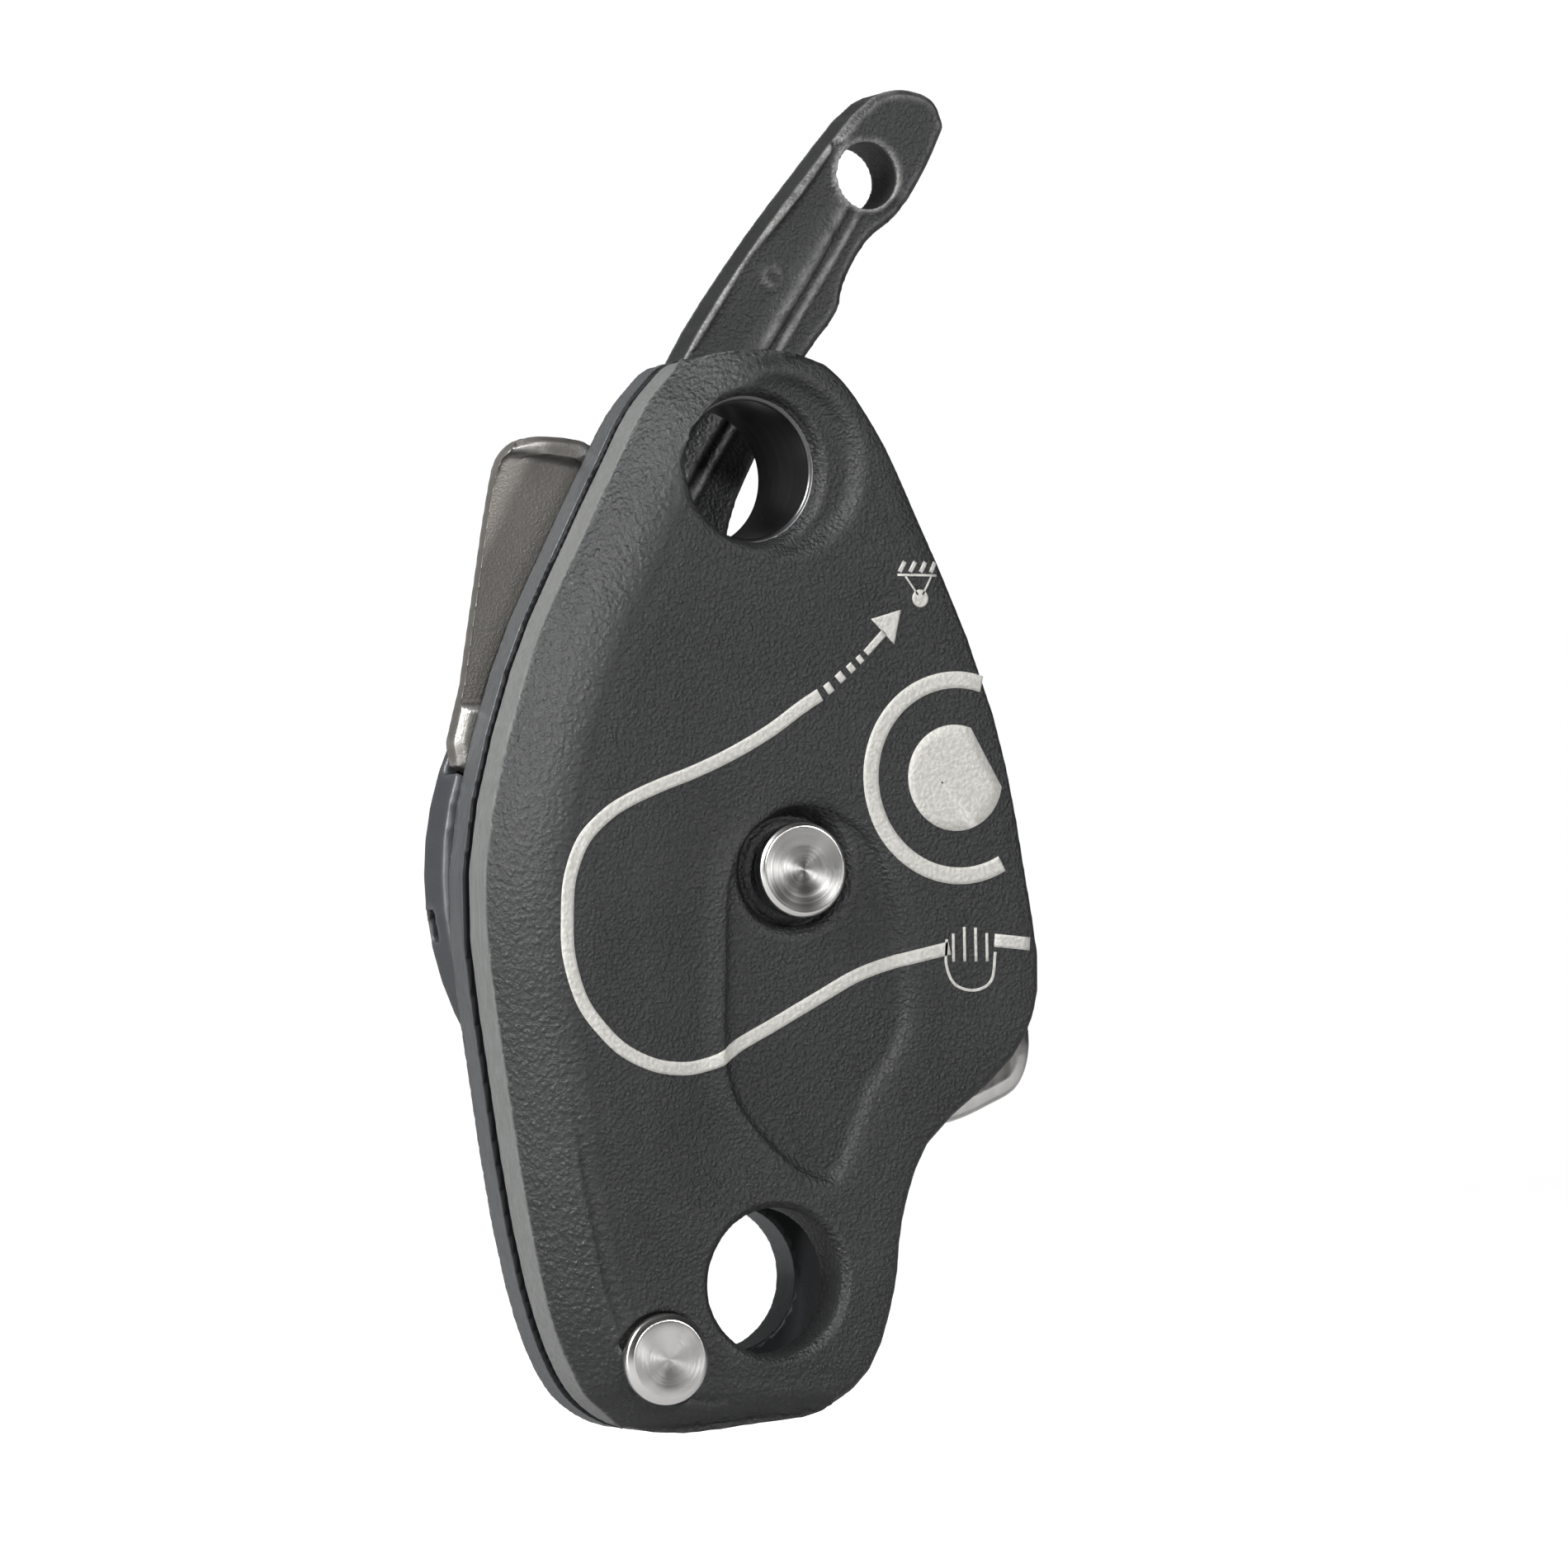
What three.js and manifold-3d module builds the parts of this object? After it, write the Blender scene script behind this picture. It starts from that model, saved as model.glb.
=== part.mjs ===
// Rope descender: a self-braking lowering device with a side plate that swings open for the rope.
// Millimetres. X points right, Z points up and the side plate's face looks towards -Y.
// The origin is the centre of the lower karabiner eye, midway between the outer faces beside it.
import * as THREE from "three";
import { mergeVertices } from "three/addons/utils/BufferGeometryUtils.js";
import Module from "manifold-3d";

const wasm = await Module();
wasm.setup();

// ---- Driving dimensions ----

// Karabiner eyes
const eyeBore = 9.0; // radius of the lower eye
const eyeEdge = 0.8; // rounding of the lower eye's mouth
const eyeBossWall = 3.0; // metal around the lower eye inside the side plate
const tubeBore = 8.4; // radius of the upper eye
const tubeWall = 1.6;
const tubeShow = 0.6; // how much of the tube's end shows inside the side plate's hole
const eyeDistance = 98.6; // height of the upper eye over the lower one

// Places of the main axes, as X and Z
const eye = { x: 0, z: 0 };
const upperEye = { x: -1.3, z: eyeDistance };
const axle = { x: 3.5, z: 49.8 };
const pivot = { x: -(eyeBore + 6.2), z: -8.7 };

// Stack from front to back
const faceDepth = -9.5; // Y of the side plate's face
const skin = 2.4; // side plate's wall behind its face
const ropeGap = 11.4; // clear width between side plate and rear plate
const seam = 1.3; // open slit between the side plate's wall and the rear plate
const plateThickness = 4.2;
const rearBossHeight = 1.0; // rear plate's boss around the lower eye
const rearBossWall = 1.6;
const leverThickness = 4.0;
const springRoom = 3.1; // space for the two coil springs inside the housing
const housingFloor = 1.8;
const hubThickness = 2.9;
const armThickness = 7.4;

// Clearances
const fit = 0.25; // between a pin and its hole
const slide = 0.4; // between faces that pass each other

// Side plate
const shoulderWidth = 5.5; // rounded shoulder on its closed side, across
const shoulderDepth = 6.8; // the same, front to back
const sideWall = 2.6;
const eyeBossDepth = 6.6; // length of the lower eye's bore in the side plate
const dishDepth = 1.1; // hollow around the press button
const tubeDish = 2.6; // width of the countersink around the upper eye

// Press button
const buttonRadius = 5.8;
const buttonGap = 1.2; // open ring around the button
const buttonProud = 1.8; // how far it stands out of the side plate's face
const buttonTravel = 1.6;
const buttonFloor = 1.0; // metal left under the button
const buttonWell = 2.1; // depth of its well from the side plate's face
const stemRadius = 2.4;
const clipThickness = 0.6;

// Pivot stud of the side plate
const pivotHead = 5.5;
const pivotStem = 3.6;
const pivotSink = 0.8; // the head's seat in the side plate's face
const pivotProud = 1.2;
const pivotTail = 2.4; // what stands out of the rear plate

// Brake shoe's rivets
const rivetShank = 2.1;
const rivetSink = 1.4;

// Brake cam, thumb lever and housing
const axleRadius = 5.0;
const flangeRadius = 7.6; // the axle's front end
const flangeThickness = 1.6;
const washerThickness = 0.8;
const nutThickness = 3.0;
const sleeveRadius = 8.0;
const bushWall = 1.8;
const drumRadius = 14.2; // rope drum on the cam
const drumOffset = { x: -11.5, z: -3.8 }; // drum's centre from the axle
const dogRadius = 2.0;
const dogAngle = -60; // rest place of the dog, degrees from +X
const handleTravel = 110;
const camTravel = 10;
const slotRadius = 20.0; // path of the drive dog
const housingWall = 2.2;
const screwRadius = 1.6;
const screwBoss = 2.2; // metal around a housing screw
const screwAngles = [-112, -27, 66];

// Handle
const cordHole = 4.3; // radius of the hole near the handle's tip
const cordHolePlace = { x: 22.6, z: 88.2 }; // from the axle

// ---- Depths that follow from them ----

const insideFace = faceDepth + skin;
const plateFront = insideFace + ropeGap;
const wallBack = plateFront - seam;
const plateBack = plateFront + plateThickness;
const camFront = insideFace + 2.1;
const camBack = plateFront - 1.0;
const leverFront = plateBack + slide;
const leverBack = leverFront + leverThickness;
const housingInside = leverBack + springRoom;
const housingBack = housingInside + housingFloor;
const hubFront = housingBack + slide;
const hubBack = hubFront + hubThickness;
const armFront = hubBack - armThickness;
const washerBack = hubBack + slide + washerThickness;
const nutBack = washerBack + fit + nutThickness;
const axleEnd = nutBack - 0.6;
const pivotBack = plateBack + pivotTail;
const buttonFront = faceDepth - buttonProud;
const buttonSkirt = faceDepth + buttonWell - buttonTravel - 0.2;
const clipFront = faceDepth + buttonWell + buttonFloor + 0.2;

// ---- Radii that follow from the dog's path, outwards ----

const hubRadius = slotRadius + dogRadius; // the handle's hub
const leverHub = slotRadius + dogRadius + 4;
const screwCircle = leverHub + screwRadius + screwBoss + 0.8;
const housingRadius = screwCircle + screwRadius + screwBoss + 2.4 + housingWall;
const sweepRadius = housingRadius + 1.6; // the handle's thick part stays outside this

// The open side of the plates and the brake shoe keep clear of the lever's hub.
const openSide = leverHub + 5.5;
const shoe = { x: axle.x + openSide - 7, z: 27.0 };
const shoeRivetPlaces = [
  { x: shoe.x - 8.2, z: shoe.z - 1.4 },
  { x: shoe.x + 2.8, z: shoe.z + 0.6 },
];

// ---- Helpers ----

// Geometry to a solid that can be joined and cut.
function solid(geometry) {
  const loose = geometry.index ? geometry.toNonIndexed() : geometry;
  const bare = new THREE.BufferGeometry();
  bare.setAttribute("position", loose.getAttribute("position"));
  const merged = mergeVertices(bare, 1e-4);
  const vertProperties = merged.attributes.position.array;
  const triVerts = new Uint32Array(merged.index.array);
  return new wasm.Manifold(new wasm.Mesh({ numProp: 3, vertProperties, triVerts }));
}

// Solid back to geometry.
function geometryOf(manifold) {
  const mesh = manifold.getMesh();
  const geometry = new THREE.BufferGeometry();
  geometry.setAttribute("position", new THREE.BufferAttribute(mesh.vertProperties, 3));
  geometry.setIndex(new THREE.BufferAttribute(mesh.triVerts, 1));
  geometry.computeVertexNormals();
  return geometry;
}

// Prism of a shape drawn in X and Z, from one Y to another, with an optional rounded rim.
function prism(shape, front, back, rim = {}) {
  const { across = 0, deep = 0, steps = 3, inset = 0 } = rim;
  const geometry = new THREE.ExtrudeGeometry(shape, {
    depth: back - front - 2 * deep,
    bevelEnabled: deep > 0 || inset > 0,
    bevelThickness: deep,
    bevelSize: across,
    bevelOffset: -across - inset,
    bevelSegments: steps,
    curveSegments: 10,
  });
  geometry.rotateX(Math.PI / 2);
  geometry.translate(0, back - deep, 0);
  return solid(geometry);
}

// Round bar along Y, or a cone when the back radius differs.
function bar(place, radius, front, back, sides = 32, backRadius = radius) {
  const geometry = new THREE.CylinderGeometry(backRadius, radius, back - front, sides);
  geometry.translate(place.x, (front + back) / 2, place.z);
  return solid(geometry);
}

// Solid of revolution about the Y axis through a place, from pairs of radius and Y, front to back.
function turned(place, profile, sides = 32) {
  const points = profile.map(([radius, depth]) => new THREE.Vector2(radius, depth));
  const geometry = new THREE.LatheGeometry(points, sides);
  geometry.translate(place.x, 0, place.z);
  return solid(geometry);
}

// Coil along Y with round wire and flat ends.
function coil(place, radius, wire, front, back, turns) {
  const points = [];
  const perTurn = 12;
  for (let i = 0; i <= turns * perTurn; i++) {
    const angle = (i / perTurn) * Math.PI * 2;
    const depth = front + ((back - front) * i) / (turns * perTurn);
    points.push(
      new THREE.Vector3(place.x + radius * Math.cos(angle), depth, place.z + radius * Math.sin(angle)),
    );
  }
  const section = new THREE.Shape().absarc(0, 0, wire / 2, 0, Math.PI * 2);
  return solid(
    new THREE.ExtrudeGeometry(section, {
      steps: turns * perTurn,
      extrudePath: new THREE.CatmullRomCurve3(points),
      curveSegments: 2,
      bevelEnabled: false,
    }),
  );
}

function radians(degrees) {
  return (degrees * Math.PI) / 180;
}

// Point at an angle and a radius from a place.
function around(place, radius, degrees) {
  return {
    x: place.x + radius * Math.cos(radians(degrees)),
    z: place.z + radius * Math.sin(radians(degrees)),
  };
}

// Smooth open curve through [place, dx, dz] anchors, as 2D points.
function curveThrough(anchors, perSpan = 3) {
  const points = anchors.map(([place, dx, dz]) => new THREE.Vector3(place.x + dx, place.z + dz, 0));
  const curve = new THREE.CatmullRomCurve3(points, false, "centripetal");
  return curve.getPoints((anchors.length - 1) * perSpan).map((p) => new THREE.Vector2(p.x, p.y));
}

// Closed smooth shape through the same kind of anchors.
function loopThrough(anchors, perSpan = 3) {
  const points = anchors.map(([place, dx, dz]) => new THREE.Vector3(place.x + dx, place.z + dz, 0));
  const curve = new THREE.CatmullRomCurve3(points, true, "centripetal");
  const loop = curve.getPoints(anchors.length * perSpan).map((p) => new THREE.Vector2(p.x, p.y));
  loop.pop();
  return new THREE.Shape(loop);
}

// Slot of a given half width that follows an arc.
function arcSlot(place, radius, halfWidth, from, to, front, back) {
  const shape = new THREE.Shape();
  const start = around(place, radius, from);
  const end = around(place, radius, to);
  shape.absarc(place.x, place.z, radius + halfWidth, radians(from), radians(to), false);
  shape.absarc(end.x, end.z, halfWidth, radians(to), radians(to + 180), false);
  shape.absarc(place.x, place.z, radius - halfWidth, radians(to), radians(from), true);
  shape.absarc(start.x, start.z, halfWidth, radians(from + 180), radians(from + 360), false);
  return prism(shape, front, back);
}

// ---- Outlines ----

// Closed side of both plates, from the top round the left to the bottom.
const leftAnchors = [
  [upperEye, -8.9, 11.0],
  [upperEye, -11.9, 7.4],
  [upperEye, -15.7, 0.4],
  [upperEye, -19.9, -7.6],
  [axle, -32.5, 24.7],
  [axle, -38.4, 0.2],
  [axle, -36.1, -24.8],
  [eye, -28.2, 0],
  [pivot, -9.2, -1.8],
  [pivot, -5.8, -6.1],
];

// Open side, from the bottom round the right to the top.
const rightAnchors = [
  [eye, -2, -17],
  [eye, 6, -15.9],
  [eye, 12.6, -11],
  [eye, 16.3, -1],
  [eye, 17.4, 7],
  [shoe, -7, -10.8],
  [shoe, 5, -0.4],
  [shoe, 8.6, 7.5],
  [axle, openSide, 0.2],
  [axle, openSide - 4, 19.2],
  [upperEye, 21.3, -3.1],
  [upperEye, 16.3, 6.2],
  [upperEye, 10.3, 13],
  [upperEye, 1.3, 14.6],
  [upperEye, -6.2, 13.4],
];

function plateOutline() {
  return loopThrough([[pivot, 0.2, -9], ...rightAnchors, ...leftAnchors]);
}

// The side plate's blank: its closed side, run out far past its open side.
function blankOutline() {
  const reach = 60;
  const left = curveThrough([
    [upperEye, 16, 20],
    [upperEye, -1, 18.6],
    ...leftAnchors,
    [pivot, 2, -10.6],
    [eye, 8, -20.5],
  ]);
  const points = [
    new THREE.Vector2(axle.x + reach, left[0].y),
    ...left,
    new THREE.Vector2(axle.x + reach, left[left.length - 1].y),
  ];
  return new THREE.Shape(points);
}

// Everything to the left of the plates' open side, moved in by a margin.
function insideOpenSide(margin) {
  const reach = 60;
  const right = curveThrough(rightAnchors).map((p) => new THREE.Vector2(p.x - margin, p.y));
  const points = [
    ...right,
    new THREE.Vector2(axle.x - reach, right[right.length - 1].y),
    new THREE.Vector2(axle.x - reach, right[0].y),
  ];
  return new THREE.Shape(points);
}

// Hollow in the side plate's face around the press button, narrowing downwards.
function dishOutline() {
  return loopThrough([
    [axle, -8, 2.5],
    [axle, -9.8, -12],
    [axle, -8.6, -28],
    [axle, 3.5, -38],
    [axle, 9.5, -28],
    [axle, 15, -17],
    [axle, 11, 2.5],
    [axle, 1, 8.2],
  ]);
}

// ---- Frame ----

function rearPlate() {
  const sleeveHole = sleeveRadius + 2 * fit + bushWall;
  let body = prism(plateOutline(), plateFront, plateBack);
  body = body.add(bar(eye, eyeBore + rearBossWall, plateBack - 1, plateBack + rearBossHeight));
  body = body.subtract(bar(eye, eyeBore, plateFront - 1, plateBack + rearBossHeight + 1));
  body = body.subtract(bar(upperEye, tubeBore + tubeWall + fit, plateFront - 1, plateBack + 1));
  body = body.subtract(bar(axle, sleeveHole, plateFront - 1, plateBack + 1));
  body = body.subtract(bar(pivot, pivotStem + fit, plateFront - 1, plateBack + 1, 32));
  for (const place of shoeRivetPlaces) {
    body = body.subtract(bar(place, rivetShank + fit, plateFront - 1, plateBack + 1, 24));
    const sink = rivetShank + rivetSink + fit;
    body = body.subtract(
      bar(place, rivetShank + fit, plateBack - rivetSink, plateBack + 0.01, 24, sink),
    );
  }
  for (const angle of screwAngles) {
    const place = around(axle, screwCircle, angle);
    body = body.subtract(bar(place, screwRadius + fit, plateBack - 3, plateBack + 1, 20));
  }
  return body;
}

function upperEyeTube() {
  const front = insideFace + 0.3;
  const back = plateBack;
  const outer = tubeBore + tubeWall;
  return turned(upperEye, [
    [tubeBore + 0.4, front],
    [outer - 0.3, front],
    [outer, front + 0.3],
    [outer, back - 0.4],
    [outer - 0.4, back],
    [tubeBore + 0.9, back],
    [tubeBore, back - 0.9],
    [tubeBore, front + 0.4],
    [tubeBore + 0.4, front],
  ], 48);
}

// Axle with a flanged front end and a socket for the button's stem.
function mainAxle() {
  const flange = flangeRadius;
  const socket = flangeRadius - 2.8;
  const flangeBack = camFront + flangeThickness;
  return turned(axle, [
    [0, camFront + 1.8],
    [socket - 1.2, camFront + 1.8],
    [socket, camFront],
    [flange - 0.4, camFront],
    [flange, camFront + 0.4],
    [flange, flangeBack],
    [axleRadius, flangeBack],
    [axleRadius, axleEnd - 0.5],
    [axleRadius - 0.5, axleEnd],
    [0, axleEnd],
  ]);
}

function axleBush() {
  const inner = sleeveRadius + fit;
  const outer = inner + bushWall;
  const flangeFront = plateFront - 0.75;
  return turned(axle, [
    [inner, flangeFront],
    [outer + 1.5, flangeFront],
    [outer + 1.5, plateFront - fit],
    [outer, plateFront - fit],
    [outer, plateBack],
    [inner, plateBack],
    [inner, flangeFront],
  ]);
}

function axleWasher() {
  const ring = bar(axle, 11, hubBack + slide, washerBack);
  return ring.subtract(bar(axle, axleRadius + fit, hubBack, washerBack + 1));
}

function axleNut() {
  const front = washerBack + fit;
  const hexagon = bar(axle, 8.6, front, nutBack, 6);
  const rounding = turned(axle, [
    [0, front - 1],
    [10.5, front - 1],
    [10.5, nutBack - 1.4],
    [7.2, nutBack],
    [0, nutBack],
  ]);
  const bore = bar(axle, axleRadius + fit, front - 1, nutBack + 1);
  return hexagon.intersect(rounding).subtract(bore);
}

function pivotStud() {
  const seat = faceDepth + pivotSink - fit;
  const front = faceDepth - pivotProud;
  return turned(pivot, [
    [0, front + 0.15],
    [pivotHead - 0.8, front],
    [pivotHead - 0.1, front + 0.5],
    [pivotHead, front + 0.8],
    [pivotHead, seat],
    [pivotStem, seat],
    [pivotStem, pivotBack - 0.4],
    [pivotStem - 0.4, pivotBack],
    [0, pivotBack],
  ]);
}

function pivotSpacer() {
  const ring = bar(pivot, pivotStem + 1.5, insideFace + 1.1, plateFront - fit, 32);
  return ring.subtract(bar(pivot, pivotStem + fit, insideFace, plateFront + 1, 32));
}

function pivotWasher() {
  const ring = bar(pivot, pivotStem + 1.7, insideFace + fit, insideFace + 0.85, 32);
  return ring.subtract(bar(pivot, pivotStem + fit, insideFace, insideFace + 2, 32));
}

function pivotNut() {
  const ring = turned(pivot, [
    [0, plateBack + fit],
    [pivotHead + 0.6, plateBack + fit],
    [pivotHead + 0.6, pivotBack - 0.9],
    [pivotHead - 0.2, pivotBack - 0.3],
    [0, pivotBack - 0.3],
  ], 32);
  return ring.subtract(bar(pivot, pivotStem + fit, plateBack, pivotBack + 1, 32));
}

// Block that the rope is pinched against, held by two flush rivets.
function brakeShoe() {
  const shape = loopThrough([
    [shoe, -13.2, 1.2],
    [shoe, -13.4, -3.4],
    [shoe, -10.8, -7.2],
    [shoe, -6.6, -8.6],
    [shoe, -1.6, -8.3],
    [shoe, 3.7, -6.3],
    [shoe, 7, -4.6],
    [shoe, 8.7, -1.8],
    [shoe, 9.2, 2.5],
    [shoe, 8.0, 6.2],
    [shoe, 1, 5.8],
    [shoe, -7, 4.4],
  ]);
  const front = insideFace + 0.5;
  let body = prism(shape, front, plateFront - fit, { across: 2.0, deep: 2.2, steps: 3 });
  for (const place of shoeRivetPlaces) {
    body = body.subtract(bar(place, rivetShank + fit, plateFront - 5, plateFront + 1, 24));
  }
  return body;
}

function shoeRivet(place) {
  return turned(place, [
    [0, plateFront - 4.6],
    [rivetShank, plateFront - 4.6],
    [rivetShank, plateBack - rivetSink],
    [rivetShank + rivetSink - 0.1, plateBack - 0.1],
    [0, plateBack - 0.1],
  ], 24);
}

// Drum-shaped housing on the rear plate, over the lever's hub and the springs.
function rearHousing() {
  const front = plateBack + 0.15;
  const inner = housingRadius - housingWall;
  const outerSolid = turned(axle, [
    [0, front],
    [housingRadius, front],
    [housingRadius, housingBack - 3],
    [housingRadius - 1, housingBack - 0.9],
    [housingRadius - 3, housingBack],
    [0, housingBack],
  ], 56);
  const room = turned(axle, [
    [0, front - 1],
    [inner, front - 1],
    [inner, housingInside - 2],
    [inner - 2, housingInside],
    [0, housingInside],
  ], 56);
  const boundOuter = prism(insideOpenSide(1.5), front - 2, housingBack + 1);
  const boundInner = prism(insideOpenSide(1.5 + housingWall), front - 2, housingBack + 1);
  let body = outerSolid.intersect(boundOuter).subtract(room.intersect(boundInner));
  for (const angle of screwAngles) {
    const place = around(axle, screwCircle, angle);
    body = body.add(bar(place, screwRadius + screwBoss, front, housingInside + 0.5, 20));
  }
  for (const angle of screwAngles) {
    const place = around(axle, screwCircle, angle);
    body = body.subtract(bar(place, screwRadius + fit, front - 1, housingBack + 1, 20));
    body = body.subtract(
      bar(place, screwRadius + fit, housingBack - 1.6, housingBack + 0.01, 20, screwRadius + 1.6 + fit),
    );
  }
  body = body.subtract(bar(axle, axleRadius + fit, front - 1, housingBack + 1));
  const rearBoss = eyeBore + rearBossWall + slide;
  body = body.subtract(bar(eye, rearBoss, front - 1, plateBack + rearBossHeight + slide));
  const dogFrom = dogAngle - 8;
  const dogTo = dogAngle + handleTravel + 8;
  const slotWidth = dogRadius + 0.6;
  body = body.subtract(
    arcSlot(axle, slotRadius, slotWidth, dogFrom, dogTo, housingInside - 1, housingBack + 1),
  );
  body = body.subtract(leverWindow(front));
  const drain = around(axle, housingRadius, 189);
  const slit = new THREE.BoxGeometry(6, 3.4, 4);
  slit.translate(drain.x, front + 5.4, drain.z);
  return body.subtract(solid(slit));
}

// Window in the housing's wall for the thumb lever and its travel.
function leverWindow(front) {
  const shape = new THREE.Shape();
  const far = housingRadius + 6;
  const near = leverHub + 2;
  const from = 94;
  const to = 161.5;
  shape.absarc(axle.x, axle.z, far, radians(from), radians(to), false);
  shape.absarc(axle.x, axle.z, near, radians(to), radians(from), true);
  return prism(shape, front - 1, leverBack + slide);
}

function housingScrew(angle) {
  const place = around(axle, screwCircle, angle);
  const end = plateBack - 2.7;
  return turned(place, [
    [0, end],
    [screwRadius - 0.3, end],
    [screwRadius, end + 0.3],
    [screwRadius, housingBack - 1.6],
    [screwRadius + 1.5, housingBack - 0.1],
    [1.3, housingBack - 0.1],
    [1.3, housingBack - 1.2],
    [0, housingBack - 1.2],
  ], 20);
}

// ---- Side plate and its press button ----

function sidePlate() {
  const blank = prism(blankOutline(), faceDepth, wallBack + 20, {
    across: shoulderWidth,
    deep: shoulderDepth,
  });
  const room = prism(blankOutline(), insideFace, wallBack + 30, {
    across: shoulderWidth - 0.6,
    deep: shoulderDepth - 1,
    inset: sideWall,
  });
  const edges = { across: 0.7, deep: 0.7, steps: 1 };
  const trim = prism(plateOutline(), faceDepth, wallBack, edges);
  let body = blank.subtract(room).intersect(trim);

  const eyeBoss = bar(eye, eyeBore + eyeBossWall, insideFace - 0.5, faceDepth + eyeBossDepth);
  const wellRadius = buttonRadius + buttonGap;
  const wellFloor = faceDepth + buttonWell;
  const buttonBoss = bar(axle, wellRadius + 1.6, insideFace - 0.5, wellFloor + buttonFloor);
  body = body.add(eyeBoss).add(buttonBoss);

  body = body.subtract(prism(dishOutline(), faceDepth - 1, faceDepth + dishDepth));
  body = body.subtract(bar(axle, wellRadius, faceDepth - 1, wellFloor));
  body = body.subtract(bar(axle, stemRadius + fit, faceDepth - 1, wellFloor + 3, 24));

  body = body.subtract(bar(eye, eyeBore, faceDepth - 1, faceDepth + eyeBossDepth + 1));
  const mouth = eyeBore + 2 * eyeEdge;
  body = body.subtract(bar(eye, mouth, faceDepth - eyeEdge, faceDepth + eyeEdge, 40, eyeBore));

  // Room inside its shoulder for the upper eye's tube and the pivot's spacer.
  body = body.subtract(bar(upperEye, tubeBore + tubeWall + slide, insideFace, wallBack + 1));
  body = body.subtract(bar(pivot, pivotStem + 1.7 + slide, insideFace, wallBack + 1));

  const tubeHole = tubeBore + tubeShow;
  const dishPlace = { x: upperEye.x + 1.2, z: upperEye.z };
  body = body.subtract(bar(upperEye, tubeHole, faceDepth - 1, insideFace + 1));
  const dishRadius = tubeHole + tubeDish;
  body = body.subtract(
    bar(dishPlace, dishRadius, faceDepth - 0.01, faceDepth + 1.5, 40, tubeHole - 1),
  );

  body = body.subtract(bar(pivot, pivotHead + 0.4, faceDepth - 1, faceDepth + pivotSink, 32));
  return body.subtract(bar(pivot, pivotStem + fit, faceDepth - 1, insideFace + 1, 32));
}

function pressButton() {
  const hollow = buttonRadius - 0.9;
  return turned(axle, [
    [0, buttonFront + 0.1],
    [buttonRadius - 0.6, buttonFront],
    [buttonRadius, buttonFront + 0.6],
    [buttonRadius, buttonSkirt],
    [hollow, buttonSkirt],
    [hollow, buttonFront + 1.0],
    [stemRadius, buttonFront + 1.0],
    [stemRadius, clipFront + clipThickness + 0.2],
    [0, clipFront + clipThickness + 0.2],
  ]);
}

function buttonClip() {
  const ring = bar(axle, stemRadius + 1.7, clipFront, clipFront + clipThickness, 24);
  return ring.subtract(bar(axle, stemRadius + fit, clipFront - 1, clipFront + 2, 24));
}

function buttonSpring() {
  const wire = 0.6;
  const front = buttonFront + 1.2 + wire / 2;
  const back = faceDepth + buttonWell - 0.2 - wire / 2;
  return coil(axle, 3.6, wire, front, back, 3);
}

// ---- Brake cam and thumb lever ----

function brakeCam() {
  const drum = { x: axle.x + drumOffset.x, z: axle.z + drumOffset.z };
  const shape = loopThrough([
    [drum, -drumRadius, 0],
    [drum, -drumRadius * 0.72, -drumRadius * 0.7],
    [drum, 0, -drumRadius],
    [axle, 2, -18.5],
    [axle, 10.5, -14.5],
    [axle, 12.4, -8],
    [axle, 11.6, 4],
    [axle, 5, 10.6],
    [axle, -4, 11.2],
    [drum, 0, drumRadius],
    [drum, -drumRadius * 0.72, drumRadius * 0.7],
  ]);
  let body = prism(shape, camFront, camBack, { across: 0.8, deep: 0.8, steps: 1 });
  body = body.add(bar(axle, sleeveRadius, camBack - 1, leverFront));
  body = body.add(bar(axle, sleeveRadius, leverFront - 0.5, leverBack, 6));
  body = body.subtract(bar(axle, flangeRadius + slide, camFront - 1, camFront + flangeThickness + fit));
  return body.subtract(bar(axle, axleRadius + fit, camFront - 1, leverBack + 1));
}

function thumbLever() {
  const blade = loopThrough([
    [axle, -36.5, 13.4],
    [axle, -35.1, 23.2],
    [axle, -33.1, 35.2],
    [axle, -31.1, 46.6],
    [axle, -29.9, 51],
    [axle, -27.6, 53.2],
    [axle, -24, 53.7],
    [axle, -17.6, 52.4],
    [axle, -16.6, 47],
    [axle, -18.4, 32],
    [axle, -12, 18],
    [axle, -17.3, 10],
  ]);
  const pocket = loopThrough([
    [axle, -32, 30],
    [axle, -29.2, 47.8],
    [axle, -26.6, 51.2],
    [axle, -19.4, 50.6],
    [axle, -18.8, 46],
    [axle, -21, 32],
    [axle, -27.6, 26],
  ]);
  let body = prism(blade, leverFront, leverBack, { across: 0.7, deep: 0.7, steps: 1 });
  body = body.add(bar(axle, leverHub, leverFront, leverBack, 56));
  body = body.subtract(prism(pocket, leverFront - 1, leverFront + 1.4));
  body = body.subtract(bar(axle, sleeveRadius + 0.3, leverFront - 1, leverBack + 1, 6));
  const from = dogAngle - 6;
  const to = dogAngle + handleTravel + camTravel + 6;
  return body.subtract(arcSlot(axle, slotRadius, dogRadius + 0.6, from, to, leverFront - 1, leverBack + 1));
}

function camSpring() {
  return coil(axle, sleeveRadius + 1.2, 1.2, leverBack + 0.9, housingInside - 0.9, 2);
}

// ---- Handle ----

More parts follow.
